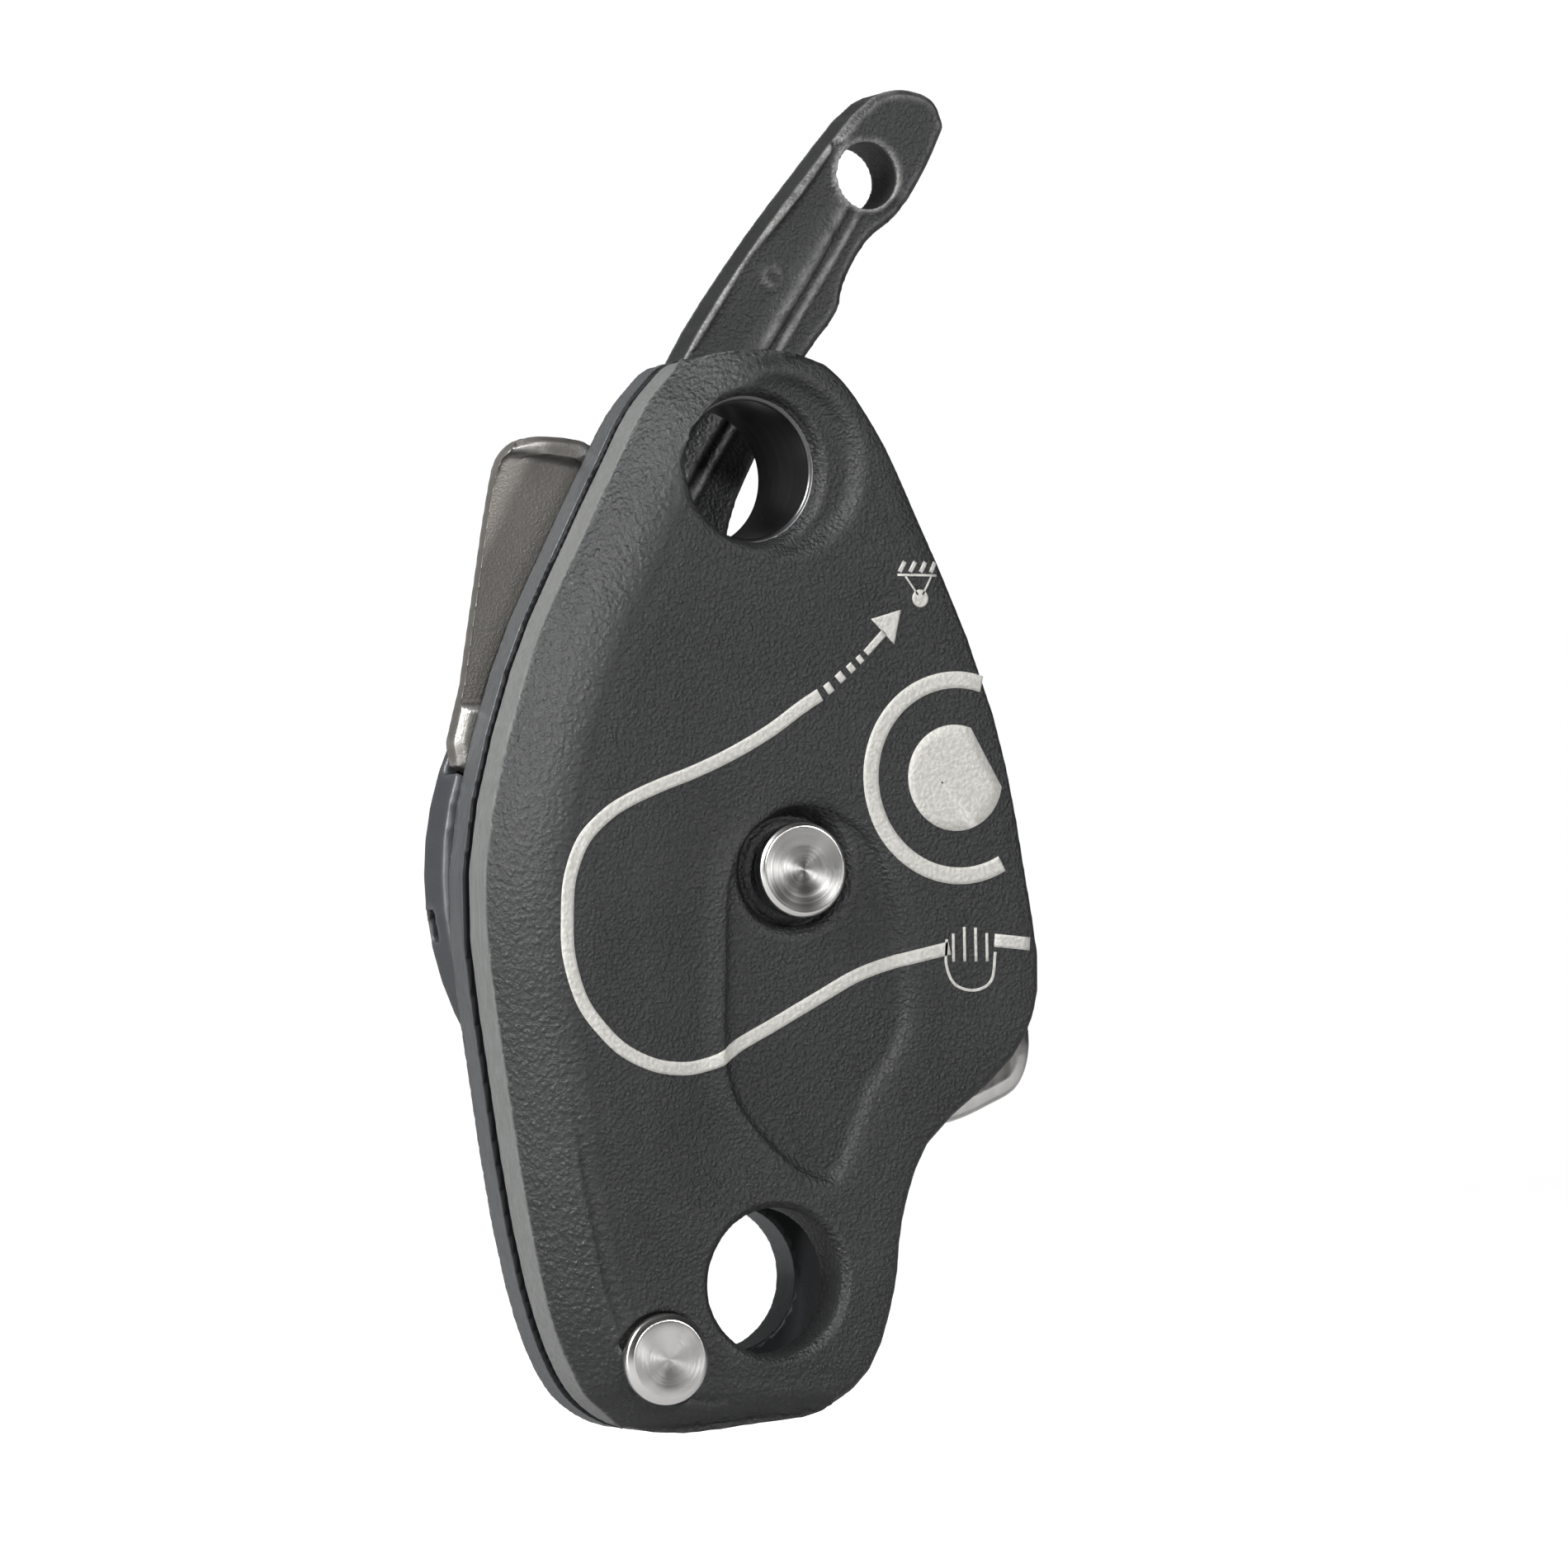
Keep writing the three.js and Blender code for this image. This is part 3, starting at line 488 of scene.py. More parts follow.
# Handling: broad cloudy smudges and a few fine scratches. Both are masks of 0 to 1
def makeHandlingGroup():
    group, entry, leave = newGroup(
        "handling",
        [("Scratch Turn", "NodeSocketFloat", 0.6)],
        [("Smudge", "NodeSocketFloat"), ("Scratch", "NodeSocketFloat")],
    )
    place = objectPlace(group)
    cloud = noiseNode(group, place, 55.0, 4.0, 0.6)
    turn = group.nodes.new("ShaderNodeVectorRotate")
    turn.rotation_type = "Y_AXIS"
    group.links.new(place, turn.inputs["Vector"])
    group.links.new(entry.outputs["Scratch Turn"], turn.inputs["Angle"])
    stretch = group.nodes.new("ShaderNodeVectorMath")
    stretch.operation = "MULTIPLY"
    group.links.new(turn.outputs[0], stretch.inputs[0])
    stretch.inputs[1].default_value = (4500.0, 900.0, 60.0)
    lines = group.nodes.new("ShaderNodeTexNoise")
    group.links.new(stretch.outputs[0], lines.inputs["Vector"])
    lines.inputs["Scale"].default_value = 1.0
    lines.inputs["Detail"].default_value = 2.0
    group.links.new(rangeNode(group, cloud, 0.35, 0.68), leave.inputs["Smudge"])
    group.links.new(rangeNode(group, lines.outputs["Fac"], 0.7, 0.78), leave.inputs["Scratch"])
    return group


grainGroup, wearGroup, handlingGroup = makeGrainGroup(), makeWearGroup(), makeHandlingGroup()


def place(tree, group, **values):
    node = tree.nodes.new("ShaderNodeGroup")
    node.node_tree = group
    for label, value in values.items():
        socket = node.inputs[label.replace("_", " ")]
        if isinstance(value, (int, float)):
            socket.default_value = value
        else:
            tree.links.new(value, socket)
    return node


def newMaterial(name, **numbers):
    material = bpy.data.materials.new(name)
    material.use_nodes = True
    tree = material.node_tree
    shader = tree.nodes["Principled BSDF"]
    for label, value in numbers.items():
        shader.inputs[label.replace("_", " ")].default_value = value
    return material, tree, shader


def addBump(tree, shader, height, strength, distance):
    node = tree.nodes.new("ShaderNodeBump")
    node.inputs["Strength"].default_value = strength
    node.inputs["Distance"].default_value = distance * mm
    tree.links.new(height, node.inputs["Height"])
    tree.links.new(node.outputs["Normal"], shader.inputs["Normal"])
    return node


def attributeNode(tree, name):
    node = tree.nodes.new("ShaderNodeAttribute")
    node.attribute_name = name
    return node.outputs["Fac"]


# Painted or bare casting: grain in the height, colour and roughness, smudges, and worn edges. Attribute bare
# marks the machined faces, which are streaked along Z. A second attribute marks faces seen in a gap between parts;
# these get painted shade, a near-black colour that stands in for the shadow in the gap
def castMaterial(name, dark, light, worn, metallic, rough, grain, grainDepth, wear, coarse=0.0, patch=1.0, bare=None):
    material, tree, shader = newMaterial(name, Metallic=metallic)
    skin = place(tree, grainGroup, Pebble=grain, Coarse_Share=coarse)
    if coarse < 0:
        tree.links.new(attributeNode(tree, "shoulder"), skin.inputs["Coarse Share"])
    touch = place(tree, handlingGroup)
    rubbed = place(tree, wearGroup, Amount=wear, Patch=patch)
    colour = mixColour(tree, skin.outputs["Speck"], dark, light)
    smudged = mixColour(tree, mathNode(tree, "MULTIPLY", touch.outputs["Smudge"], 0.35), colour, light)
    final = mixColour(tree, rubbed.outputs["Wear"], smudged, worn)
    height = skin.outputs["Height"]
    if bare:
        stretch = tree.nodes.new("ShaderNodeVectorMath")
        stretch.operation = "MULTIPLY"
        tree.links.new(objectPlace(tree), stretch.inputs[0])
        stretch.inputs[1].default_value = (3000.0, 3000.0, 160.0)
        streaks = rangeNode(tree, noiseNode(tree, stretch.outputs[0], 1.0, 3.0, 0.6), 0.3, 0.7)
        machined = attributeNode(tree, "bare")
        final = mixColour(tree, machined, final, mixColour(tree, streaks, bare, tuple(1.5 * c for c in bare)))
        flat = mathNode(tree, "MULTIPLY", streaks, 0.12)
        rest = mathNode(tree, "SUBTRACT", 1.0, machined)
        height = mathNode(tree, "ADD", mathNode(tree, "MULTIPLY", height, rest),
            mathNode(tree, "MULTIPLY", flat, machined))
    # Painted shade: faces marked by the gap attribute are coloured near black, standing in for the shade inside the
    # seam between the plates
    final = mixColour(tree, attributeNode(tree, "paintedGapShade"), final, (0.016, 0.017, 0.019))
    tree.links.new(final, shader.inputs["Base Color"])
    base = rangeNode(tree, skin.outputs["Height"], 0.3, 0.95, rough + 0.1, rough - 0.06)
    smooth = mathNode(tree, "MULTIPLY", rubbed.outputs["Wear"], 0.22)
    cloud = mathNode(tree, "MULTIPLY", touch.outputs["Smudge"], 0.06)
    tree.links.new(mathNode(tree, "ADD", mathNode(tree, "SUBTRACT", base, smooth), cloud), shader.inputs["Roughness"])
    scratched = mathNode(tree, "SUBTRACT", height, mathNode(tree, "MULTIPLY", touch.outputs["Scratch"], 0.08))
    addBump(tree, shader, scratched, 1.0, grainDepth)
    return material


# Machined or drawn metal: streaks along one direction, smudges in the roughness, fine scratches
def machinedMaterial(name, dark, light, rough, turned=False, anisotropic=0.0, streak=(400.0, 5000.0, 5000.0)):
    material, tree, shader = newMaterial(name, Metallic=1.0, Anisotropic=anisotropic)
    touch = place(tree, handlingGroup)
    if turned:
        source = tree.nodes.new("ShaderNodeUVMap")
        source.uv_map = "turning"
        along = source.outputs["UV"]
        stretch = (2.0, 160.0, 1.0)
        tangent = tree.nodes.new("ShaderNodeTangent")
        tangent.direction_type = "UV_MAP"
        tangent.uv_map = "turning"
        if anisotropic:
            tree.links.new(tangent.outputs["Tangent"], shader.inputs["Tangent"])
    else:
        along, stretch = objectPlace(tree), streak
    scale = tree.nodes.new("ShaderNodeVectorMath")
    scale.operation = "MULTIPLY"
    tree.links.new(along, scale.inputs[0])
    scale.inputs[1].default_value = stretch
    lines = noiseNode(tree, scale.outputs[0], 1.0, 3.0, 0.6)
    tree.links.new(mixColour(tree, rangeNode(tree, lines, 0.3, 0.7), dark, light), shader.inputs["Base Color"])
    base = rangeNode(tree, lines, 0.3, 0.7, rough - 0.04, rough + 0.05)
    tree.links.new(mathNode(tree, "ADD", base, mathNode(tree, "MULTIPLY", touch.outputs["Smudge"], 0.07)),
        shader.inputs["Roughness"])
    height = mathNode(tree, "SUBTRACT", lines, mathNode(tree, "MULTIPLY", touch.outputs["Scratch"], 0.6))
    addBump(tree, shader, height, 0.5, 0.006)
    return material


finishes = {
    "coverCasting": castMaterial("coverCasting", (0.007, 0.0075, 0.008), (0.030, 0.031, 0.031),
        (0.15, 0.15, 0.15), 0.0, 0.36, 0.9, 0.2, 0.25, coarse=-1.0, bare=(0.10, 0.103, 0.10)),
    "handleCasting": castMaterial("handleCasting", (0.010, 0.0105, 0.011), (0.032, 0.033, 0.034),
        (0.40, 0.40, 0.39), 0.1, 0.38, 0.9, 0.12, 1.2, patch=0.8),
    "leverSteel": castMaterial("leverSteel", (0.20, 0.19, 0.175), (0.30, 0.29, 0.27), (0.70, 0.69, 0.66), 0.85,
        0.42, 0.6, 0.03, 1.6, patch=2.0),
    "camSteel": castMaterial("camSteel", (0.26, 0.25, 0.235), (0.36, 0.35, 0.33), (0.6, 0.59, 0.56), 0.9, 0.42,
        0.7, 0.04, 0.8),
    "platePaint": castMaterial("platePaint", (0.075, 0.084, 0.094), (0.105, 0.115, 0.127), (0.32, 0.33, 0.34),
        0.55, 0.40, 0.35, 0.015, 0.7, patch=2.5, bare=(0.085, 0.09, 0.093)),
    "housingPaint": castMaterial("housingPaint", (0.050, 0.053, 0.058), (0.075, 0.079, 0.085),
        (0.26, 0.265, 0.27), 0.45, 0.42, 0.4, 0.025, 0.6, patch=2.5),
    "turnedSteel": machinedMaterial("turnedSteel", (0.72, 0.71, 0.69), (0.82, 0.81, 0.79), 0.20, turned=True,
        anisotropic=0.75),
    "plainSteel": machinedMaterial("plainSteel", (0.60, 0.59, 0.57), (0.72, 0.71, 0.69), 0.28, turned=True),
    "polishedSteel": machinedMaterial("polishedSteel", (0.66, 0.65, 0.63), (0.78, 0.77, 0.75), 0.16,
        streak=(600.0, 600.0, 60.0)),
    "nutSteel": machinedMaterial("nutSteel", (0.55, 0.54, 0.52), (0.68, 0.67, 0.65), 0.27,
        streak=(900.0, 900.0, 900.0)),
    "darkBore": machinedMaterial("darkBore", (0.12, 0.12, 0.125), (0.20, 0.20, 0.205), 0.30, turned=True,
        anisotropic=0.4),
    "bronze": machinedMaterial("bronze", (0.40, 0.26, 0.10), (0.52, 0.36, 0.16), 0.34, turned=True),
    "springWire": machinedMaterial("springWire", (0.28, 0.28, 0.29), (0.40, 0.40, 0.41), 0.26,
        streak=(700.0, 700.0, 700.0)),
}
print("materials", len(finishes))


cover = {
    "voxel": 0.5,
    "shoulderAcross": 5.5,
    "shoulderDeep": 6.8,
    "shoulderReach": 8.4,  # where the shoulder meets the face
    "rootDeep": 0.16,  # low line along the shoulder's foot
    "rimDeep": 0.85,  # soft fall of the face towards its open side
    "rimReach": 3.4,
    "dishDeep": 1.1,
    "dishSlope": 1.3,
    "valleyDeep": 0.85,
    "creaseDeep": 0.55,
}
coverSide = smoothCurve(placed([
    ("upper", 16, 20), ("upper", -1, 18.6), ("upper", -8.9, 11.0), ("upper", -11.9, 7.4), ("upper", -15.7, 0.4),
    ("upper", -19.9, -7.6), ("axle", -32.5, 24.7), ("axle", -38.4, 0.2), ("axle", -36.1, -24.8), ("eye", -28.2, 0),
    ("pivot", -9.2, -1.8), ("pivot", -5.8, -6.1), ("pivot", 2, -10.6), ("eye", 8, -20.5),
]))
coverOpenSide = smoothCurve(placed([
    ("eye", -2, -17), ("eye", 6, -15.9), ("eye", 12.6, -11), ("eye", 16.3, -1), ("eye", 17.4, 7), ("shoe", -7, -10.8),
    ("shoe", 5, -0.4), ("shoe", 8.6, 7.5), ("axle", 31.5, 0.2), ("axle", 27.5, 19.2), ("upper", 21.3, -3.1),
    ("upper", 16.3, 6.2), ("upper", 10.3, 13), ("upper", 1.3, 14.6), ("upper", -6.2, 13.4), ("upper", -8.9, 11.0),
]), 6)
dishLoop = smoothCurve(placed([
    ("axle", -8, 2.5), ("axle", -9.8, -12), ("axle", -8.6, -28), ("axle", 3.5, -38),
    ("axle", 9.5, -28), ("axle", 15, -17), ("axle", 11, 2.5), ("axle", 1, 8.2),
]), closed=True)
creaseLine = smoothCurve([(-30, 19), (-27, 15.5), (-20, 10), (-14, 3.5), (-10, -2)])
eyeCrease = smoothCurve([(7.5, 8.5), (11, 5), (16.5, 2)])


# Y of the cover's face over X and Z. From the flat face it falls by a slope into the dish, a shallow valley beside
# the rounded shoulder, a crease towards the pivot, the shoulder's parabola with a low line at its foot, a crescent
# beside the upper eye, a parabola along the open side and a low step beside the lower eye
def coverHeight(xz):
    x, z = xz[:, 0], xz[:, 1]
    edge, _ = lineDistance(xz, np.vstack([dishLoop, dishLoop[:1]]))
    signed = np.where(insideLoop(xz, dishLoop), edge, -edge)
    deep = cover["dishDeep"] * ramp(signed, -0.4, cover["dishSlope"])
    deep += 0.22 * ramp(signed, -2.6, 0.2) * (1 - ramp(signed, 0.2, 1.5))
    along = ramp(z, 4, 20) * (1 - ramp(z, 50, 66))
    towards = ramp(x, -17.5, -6.5) * (1 - ramp(x, -5.5, 4))
    deep += cover["valleyDeep"] * towards * along * (1 - ramp(signed, -3.2, 0.2))
    creaseGap, nearest = lineDistance(xz, creaseLine)
    below = np.where((xz - nearest)[:, 1] < 0, creaseGap, -creaseGap)
    deep += cover["creaseDeep"] * ramp(below, -6.5, 0.6) * (1 - ramp(x, -10, -3)) * (1 - ramp(z, 20, 28))
    inward, _ = lineDistance(xz, coverSide)
    deep += cover["shoulderDeep"] * np.maximum(1 - inward / cover["shoulderReach"], 0) ** 2 * (inward > 3)
    deep += cover["rootDeep"] * bump(inward, cover["shoulderReach"], 1.1)
    fromTube = xz - np.add(places["upper"], (2.8, 0.4))
    crescent = ramp(11.6 - np.linalg.norm(fromTube * (0.97, 1.0), axis=1), 0, 2.0) * ramp(fromTube[:, 0], -5, 4)
    deep += 1.35 * crescent + 0.3 * (1 - ramp(np.linalg.norm(xz - places["upper"], axis=1), 9.0, 10.4))
    rimGap, _ = lineDistance(xz, coverOpenSide)
    deep += cover["rimDeep"] * np.maximum(1 - rimGap / cover["rimReach"], 0) ** 2 * (0.35 + 0.65 * ramp(z, 78, 96))
    eyeGap, _ = lineDistance(xz, eyeCrease)
    deep += 0.12 * np.exp(-((eyeGap / 0.8) ** 2))
    return faceY + deep


def buildCover():
    piece = remeshed("side_plate", "coverShell", cover["voxel"], 2)
    mesh = piece.data
    co, normals = coordinates(mesh), vertexNormals(mesh)
    xz = co[:, [0, 2]]
    # The shoulder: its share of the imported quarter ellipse's turn gives the distance inwards, and the depth there is
    # a parabola, so that it leaves the wall at an angle and runs out into the face.
    across, deepRange = cover["shoulderAcross"], cover["shoulderDeep"]
    gap, nearest = lineDistance(xz, coverSide)
    away = xz - nearest
    awayLength = np.maximum(np.linalg.norm(away, axis=1), 1e-6)
    outer = insideLoop(xz, np.vstack([coverSide, [[70, -20], [70, 119]]]))
    inward = np.where(outer, gap, -gap)
    u = (across - inward) / across
    v = (faceY + deepRange - co[:, 1]) / deepRange
    radial = np.sqrt(np.maximum(u, 0) ** 2 + np.maximum(v, 0) ** 2)
    turn = np.arctan2(np.maximum(v, 0), np.maximum(u, 1e-6)) / (np.pi / 2)
    facing = (normals[:, 1] < 0.35) & ((normals[:, [0, 2]] * np.where(outer, -1, 1)[:,
        None] * away).sum(1) / awayLength > -0.2)
    onShoulder = (u > 0) & (v > 0) & (np.abs(radial - 1) < 0.12) & facing
    newInward = np.where(onShoulder, across * turn**1.15, inward)
    newY = faceY + deepRange * (1 - newInward / cover["shoulderReach"]) ** 2
    shift = (newInward - inward)[:, None] * (away / awayLength[:, None]) * np.where(outer, 1, -1)[:, None]
    blendIn = np.where(onShoulder, 1.0, 0.0)[:, None]
    co[:, [0, 2]] += shift * blendIn
    co[:, 1] = np.where(onShoulder, newY, co[:, 1])
    # The face: only vertices in the face's own skin follow the relief, so bores and edges keep their shape.
    xz = co[:, [0, 2]]
    relief = coverHeight(xz) - faceY
    share = ramp(lineDistance(xz, coverOpenSide)[0], 0.7, 1.2)
    for centre, start, end in (("axle", 7.3, 7.9), ("eye", 10.7, 11.3), ("pivot", 6.0, 6.5), ("upper", 9.15, 9.7)):
        share = share * ramp(np.linalg.norm(xz - places[centre], axis=1), start, end)
    skin = (co[:, 1] < faceY + 2.05) & (inward > across * 0.9) & ~onShoulder
    formed = share * (faceY + relief) + (1 - share) * (co[:, 1] + relief)
    co[:, 1] = np.where(skin, formed, co[:, 1])
    edges = edgePairs(mesh)
    wall = (np.abs(inward) < 0.7) & (co[:, 1] > faceY + deepRange - 0.25) & (normals[:, 1] > -0.5)
    co = relaxed(co, edges, 5, np.where(wall, 0.8, 0))
    setCoordinates(mesh, co)
    shoulder = 1 - ramp(inward, 6.5, 9.5)
    writeMask(mesh, "shoulder", shoulder)
    writeMask(mesh, "bare", ramp(neighbourMean(wall.astype(float), edges, len(co)), 0.3, 0.7))
    writeEdgeMask(mesh, 9.0)
    return finished(piece, "side_plate", "dark_casting", finishes["coverCasting"], "side_plate")


buildCover()
print("cover")


castings = {
    "rearPlate": ("rear_plate", 0.5, 1, "frame", "satin_plate", "platePaint", 10.0),
    "rearDrum": ("rear_housing", 0.5, 3, "frame", "satin_plate", "housingPaint", 9.0),
    "camDrum": ("brake_cam", 0.5, 2, "cam", "cast_steel", "camSteel", 8.0),
}


def buildCastings():
    for name, (node, voxel, rounds, body, slot, finish, gain) in castings.items():
        piece = remeshed(node, name, voxel, rounds)
        writeEdgeMask(piece.data, gain)
        if node == "rear_plate":
            depth, normals = coordinates(piece.data)[:, 1], vertexNormals(piece.data)
            # Painted shade: the rear plate's front face near its edge, seen through the seam, is marked so that it is
            # coloured near black as the gap's shade
            writeMask(piece.data, "paintedGapShade", 1 - ramp(depth, 4.35, 4.75))
            writeMask(piece.data, "bare", 1 - ramp(np.abs(normals[:, 1]), 0.3, 0.7))
        finished(piece, body, slot, finishes[finish], node)
        print(name)


buildCastings()

handle = {
    "voxel": 0.42,
    "front": 13.7,  # Y of the arm's front
    "panelDeep": 0.85,
    "grooveDeep": 0.55,
    "lipDeep": 0.3,
}
handlePanelLine = smoothCurve([(24, 138), (21.8, 134.2), (17.9, 128), (12.6, 120), (7.7, 112.5), (2.7, 105),
    (-3, 96)])
handlePocket = smoothCurve(placed([
    ("axle", 0.6, 65), ("axle", 9.0, 64.6), ("axle", 13.6, 71.3), ("axle", 18.6, 79.6), ("axle", 17,
        85.8), ("axle", 8, 76.6),
]), closed=True)
handleRim = smoothCurve([(20.3, 141.7), (15.5, 135.5), (9.1, 128.2), (3.8, 120.6), (-0.9, 113.5), (-4.4, 107.2),
    (-8.5, 98)])


def buildHandle():
    piece = remeshed("handle", "releaseHandle", handle["voxel"], 2)
    mesh = piece.data
    co, normals = coordinates(mesh), vertexNormals(mesh)
    xz = co[:, [0, 2]]
    front = (normals[:, 1] < -0.2) & (co[:, 1] < handle["front"] + 2.2)
    pocket = insideLoop(xz, handlePocket) & (co[:, 1] < handle["front"] + 1.5)
    toRim, nearRim = lineDistance(xz, handleRim)
    rightOfRim = (xz - nearRim)[:, 0] > 0
    toPanel, nearPanel = lineDistance(xz, handlePanelLine)
    rightOfPanel = np.where((xz - nearPanel)[:, 0] > 0, toPanel, -toPanel)
    hole = np.linalg.norm(xz - np.array([places["axle"][0] + 22.6, places["axle"][1] + 88.2]), axis=1)
    reach = ramp(hole, 4.5, 5.0) * ramp(xz[:, 1], 90, 95)
    above = ramp(xz[:, 0] * 0.62 + xz[:, 1] * 0.78, 123.5, 125.5)
    sunk = ramp(toRim, 0.9, 1.7) * rightOfRim * (1 - ramp(rightOfPanel, -1.2, 1.4)) * (1 - above)
    deep = handle["panelDeep"] * sunk + handle["grooveDeep"] * np.exp(-(((rightOfPanel - 2.3) / 0.6) ** 2)) * (1 - above)
    deep += handle["lipDeep"] * ramp(rightOfPanel, 3.2, 3.8) * (1 - above)
    mark = np.linalg.norm(xz - np.array([13.0, 124.7]), axis=1)
    deep -= 0.25 * (1 - ramp(mark, 1.45, 1.9))
    co[:, 1] = np.where(pocket, handle["front"] + deep * reach, co[:, 1] + np.where(front, deep * reach, 0))
    edges = edgePairs(mesh)
    setCoordinates(mesh, relaxed(co, edges, 2))
    writeEdgeMask(mesh, 9.0)
    return finished(piece, "handle", "black_handle", finishes["handleCasting"], "handle")


buildHandle()
print("handle")

lever = {"voxel": 0.4, "rounds": 3, "front": 8.9, "pocketDeep": 1.5, "slope": 0.7}
leverPocket = np.array([
    (-33.6, 70), (-31.6, 81), (-29.3, 92.5), (-27.6, 99.2), (-26.8, 101.0), (-25.2, 101.9), (-14, 100.6), (-13, 70)])


leverInside = np.array([(-34.5, 72), (-32.2, 82), (-29.9, 93), (-28.1, 99.8), (-25.2, 102.6), (-14, 101.3),
    (-13, 72)])


def buildLever():
    piece = remeshed("thumb_lever", "thumbLever", lever["voxel"], 1)
    co = coordinates(piece.data)
    xz = co[:, [0, 2]]
    gap, _ = lineDistance(xz, np.vstack([leverPocket, leverPocket[:1]]))
    signed = np.where(insideLoop(xz, leverPocket), gap, -gap)
    floor = lever["front"] + lever["pocketDeep"] * ramp(signed, 0, lever["slope"])
    blade = (co[:, 1] < lever["front"] + 1.7) & (xz[:, 0] < -14.5) & (xz[:, 1] > 70.5)
    inBlade = blade & ((signed > -0.2) | (co[:, 1] > lever["front"] + 0.8) & insideLoop(xz, leverInside))
    co[:, 1] = np.where(inBlade, floor, co[:, 1])
    setCoordinates(piece.data, relaxed(co, edgePairs(piece.data), lever["rounds"]))
    writeEdgeMask(piece.data, 9.0)
    return finished(piece, "cam", "cast_steel", finishes["leverSteel"], "thumb_lever")


buildLever()

shoe = {"voxel": 0.33, "rounds": 10}


def buildShoe():
    piece = remeshed("brake_shoe", "pinchBlock", shoe["voxel"], shoe["rounds"])
    writeEdgeMask(piece.data, 6.0)
    return finished(piece, "frame", "stainless", finishes["polishedSteel"], "brake_shoe")


buildShoe()
print("lever and shoe")

nutPiece = remeshed("axle_nut", "axleNut", 0.28, 3)
writeEdgeMask(nutPiece.data, 6.0)
finished(nutPiece, "frame", "stainless", finishes["nutSteel"], "axle_nut")
clipPiece = remeshed("button_clip", "buttonClip", 0.12, 2)
writeEdgeMask(clipPiece.data, 6.0)
finished(clipPiece, "side_plate", "spring_steel", finishes["springWire"], "button_clip")

fit, slide = 0.25, 0.4
insideFace, plateFront, plateBack = -7.1, 4.3, 8.5
hubFront, hubBack = 18.2, 21.1
washerBack = hubBack + slide + 0.8
camFront = insideFace + 2.1
axleEnd = washerBack + fit + 3.0 - 0.6
pivotBack = plateBack + 2.4

# Name: place, body, slot, finish, CAD nodes, rounding, profile of (radius, y).
turnedPieces = {
    "pressButton": ("axle", "side_plate", "stainless", "turnedSteel", ["press_button"], 0.18, [
(0, -11.08), (1.2, -11.1), (3.0, -11.16), (5.0, -11.28), (5.35, -11.3), (5.8, -10.85), (5.8, -9.2), (4.9, -9.2),
        (4.9, -10.3), (2.4, -10.3), (2.4, -5.4), (0, -5.4)]),
    "pivotStud": ("pivot", "frame", "stainless", "turnedSteel", ["pivot_stud"], 0.15, [
(0, -10.56), (1.0, -10.58), (3.0, -10.64), (4.7, -10.7), (5.4, -10.2), (5.5, -9.9), (5.5, -8.95), (3.6, -8.95),
        (3.6, pivotBack - 0.4), (3.2, pivotBack), (0, pivotBack)]),
    "upperEyeTube": ("upper", "frame", "satin_plate", "darkBore", ["upper_eye_tube"], 0.25, [
(8.4, 0), (8.4, -6.4), (8.8, -6.8), (9.7, -6.8), (10.0, -6.5), (10.0, 8.1), (9.6, 8.5), (9.3, 8.5), (8.4, 7.6),
        (8.4, 0)]),
    "mainAxle": ("axle", "frame", "stainless", "plainSteel", ["main_axle"], 0.2, [
        (0, camFront + 1.8), (3.6, camFront + 1.8), (4.8, camFront), (7.2, camFront), (7.6, camFront + 0.4),
        (7.6, camFront + 1.6), (5.0, camFront + 1.6), (5.0, axleEnd - 0.5), (4.5, axleEnd), (1.4, axleEnd),
        (0.4, axleEnd - 0.8), (0, axleEnd - 1.0)]),
    "axleWasher": ("axle", "frame", "stainless", "plainSteel", ["axle_washer"], 0.15, [
        (8, hubBack + slide), (11, hubBack + slide), (11, washerBack), (5.25, washerBack), (5.25, hubBack + slide),
        (8, hubBack + slide)]),
    "axleBush": ("axle", "frame", "bronze", "bronze", ["axle_bush"], 0.15, [
        (8.25, 4.0), (8.25, 3.55), (11.55, 3.55), (11.55, 4.05), (10.05, 4.05), (10.05, 8.5), (8.25, 8.5), (8.25, 4.0)]),
    "pivotSpacer": ("pivot", "frame", "satin_plate", "darkBore", ["pivot_spacer"], 0.15, [
        (3.85, 0), (3.85, -6.0), (5.1, -6.0), (5.1, 4.05), (3.85, 4.05), (3.85, 0)]),
    "pivotWasher": ("pivot", "frame", "bronze", "bronze", ["pivot_washer"], 0.1, [
        (3.85, -6.5), (3.85, -6.85), (5.3, -6.85), (5.3, -6.25), (3.85, -6.25), (3.85, -6.5)]),
    "pivotNut": ("pivot", "frame", "stainless", "plainSteel", ["pivot_nut"], 0.15, [
(3.85, 9.5), (3.85, 8.75), (6.1, 8.75), (6.1, pivotBack - 0.9), (5.3, pivotBack - 0.3), (3.85, pivotBack - 0.3),
        (3.85, 9.5)]),
    "handleBush": ("axle", "handle", "bronze", "bronze", ["handle_bush"], 0.15, [
        (5.25, 19), (5.25, hubFront), (7.05, hubFront), (7.05, hubBack), (5.25, hubBack), (5.25, 19)]),
}


def buildTurned():
    for name, (at, body, slot, finish, nodes, reach, profile) in turnedPieces.items():
        piece = lathe(name, at, roundedProfile(profile, reach))
        finished(piece, body, slot, finishes[finish], *nodes)


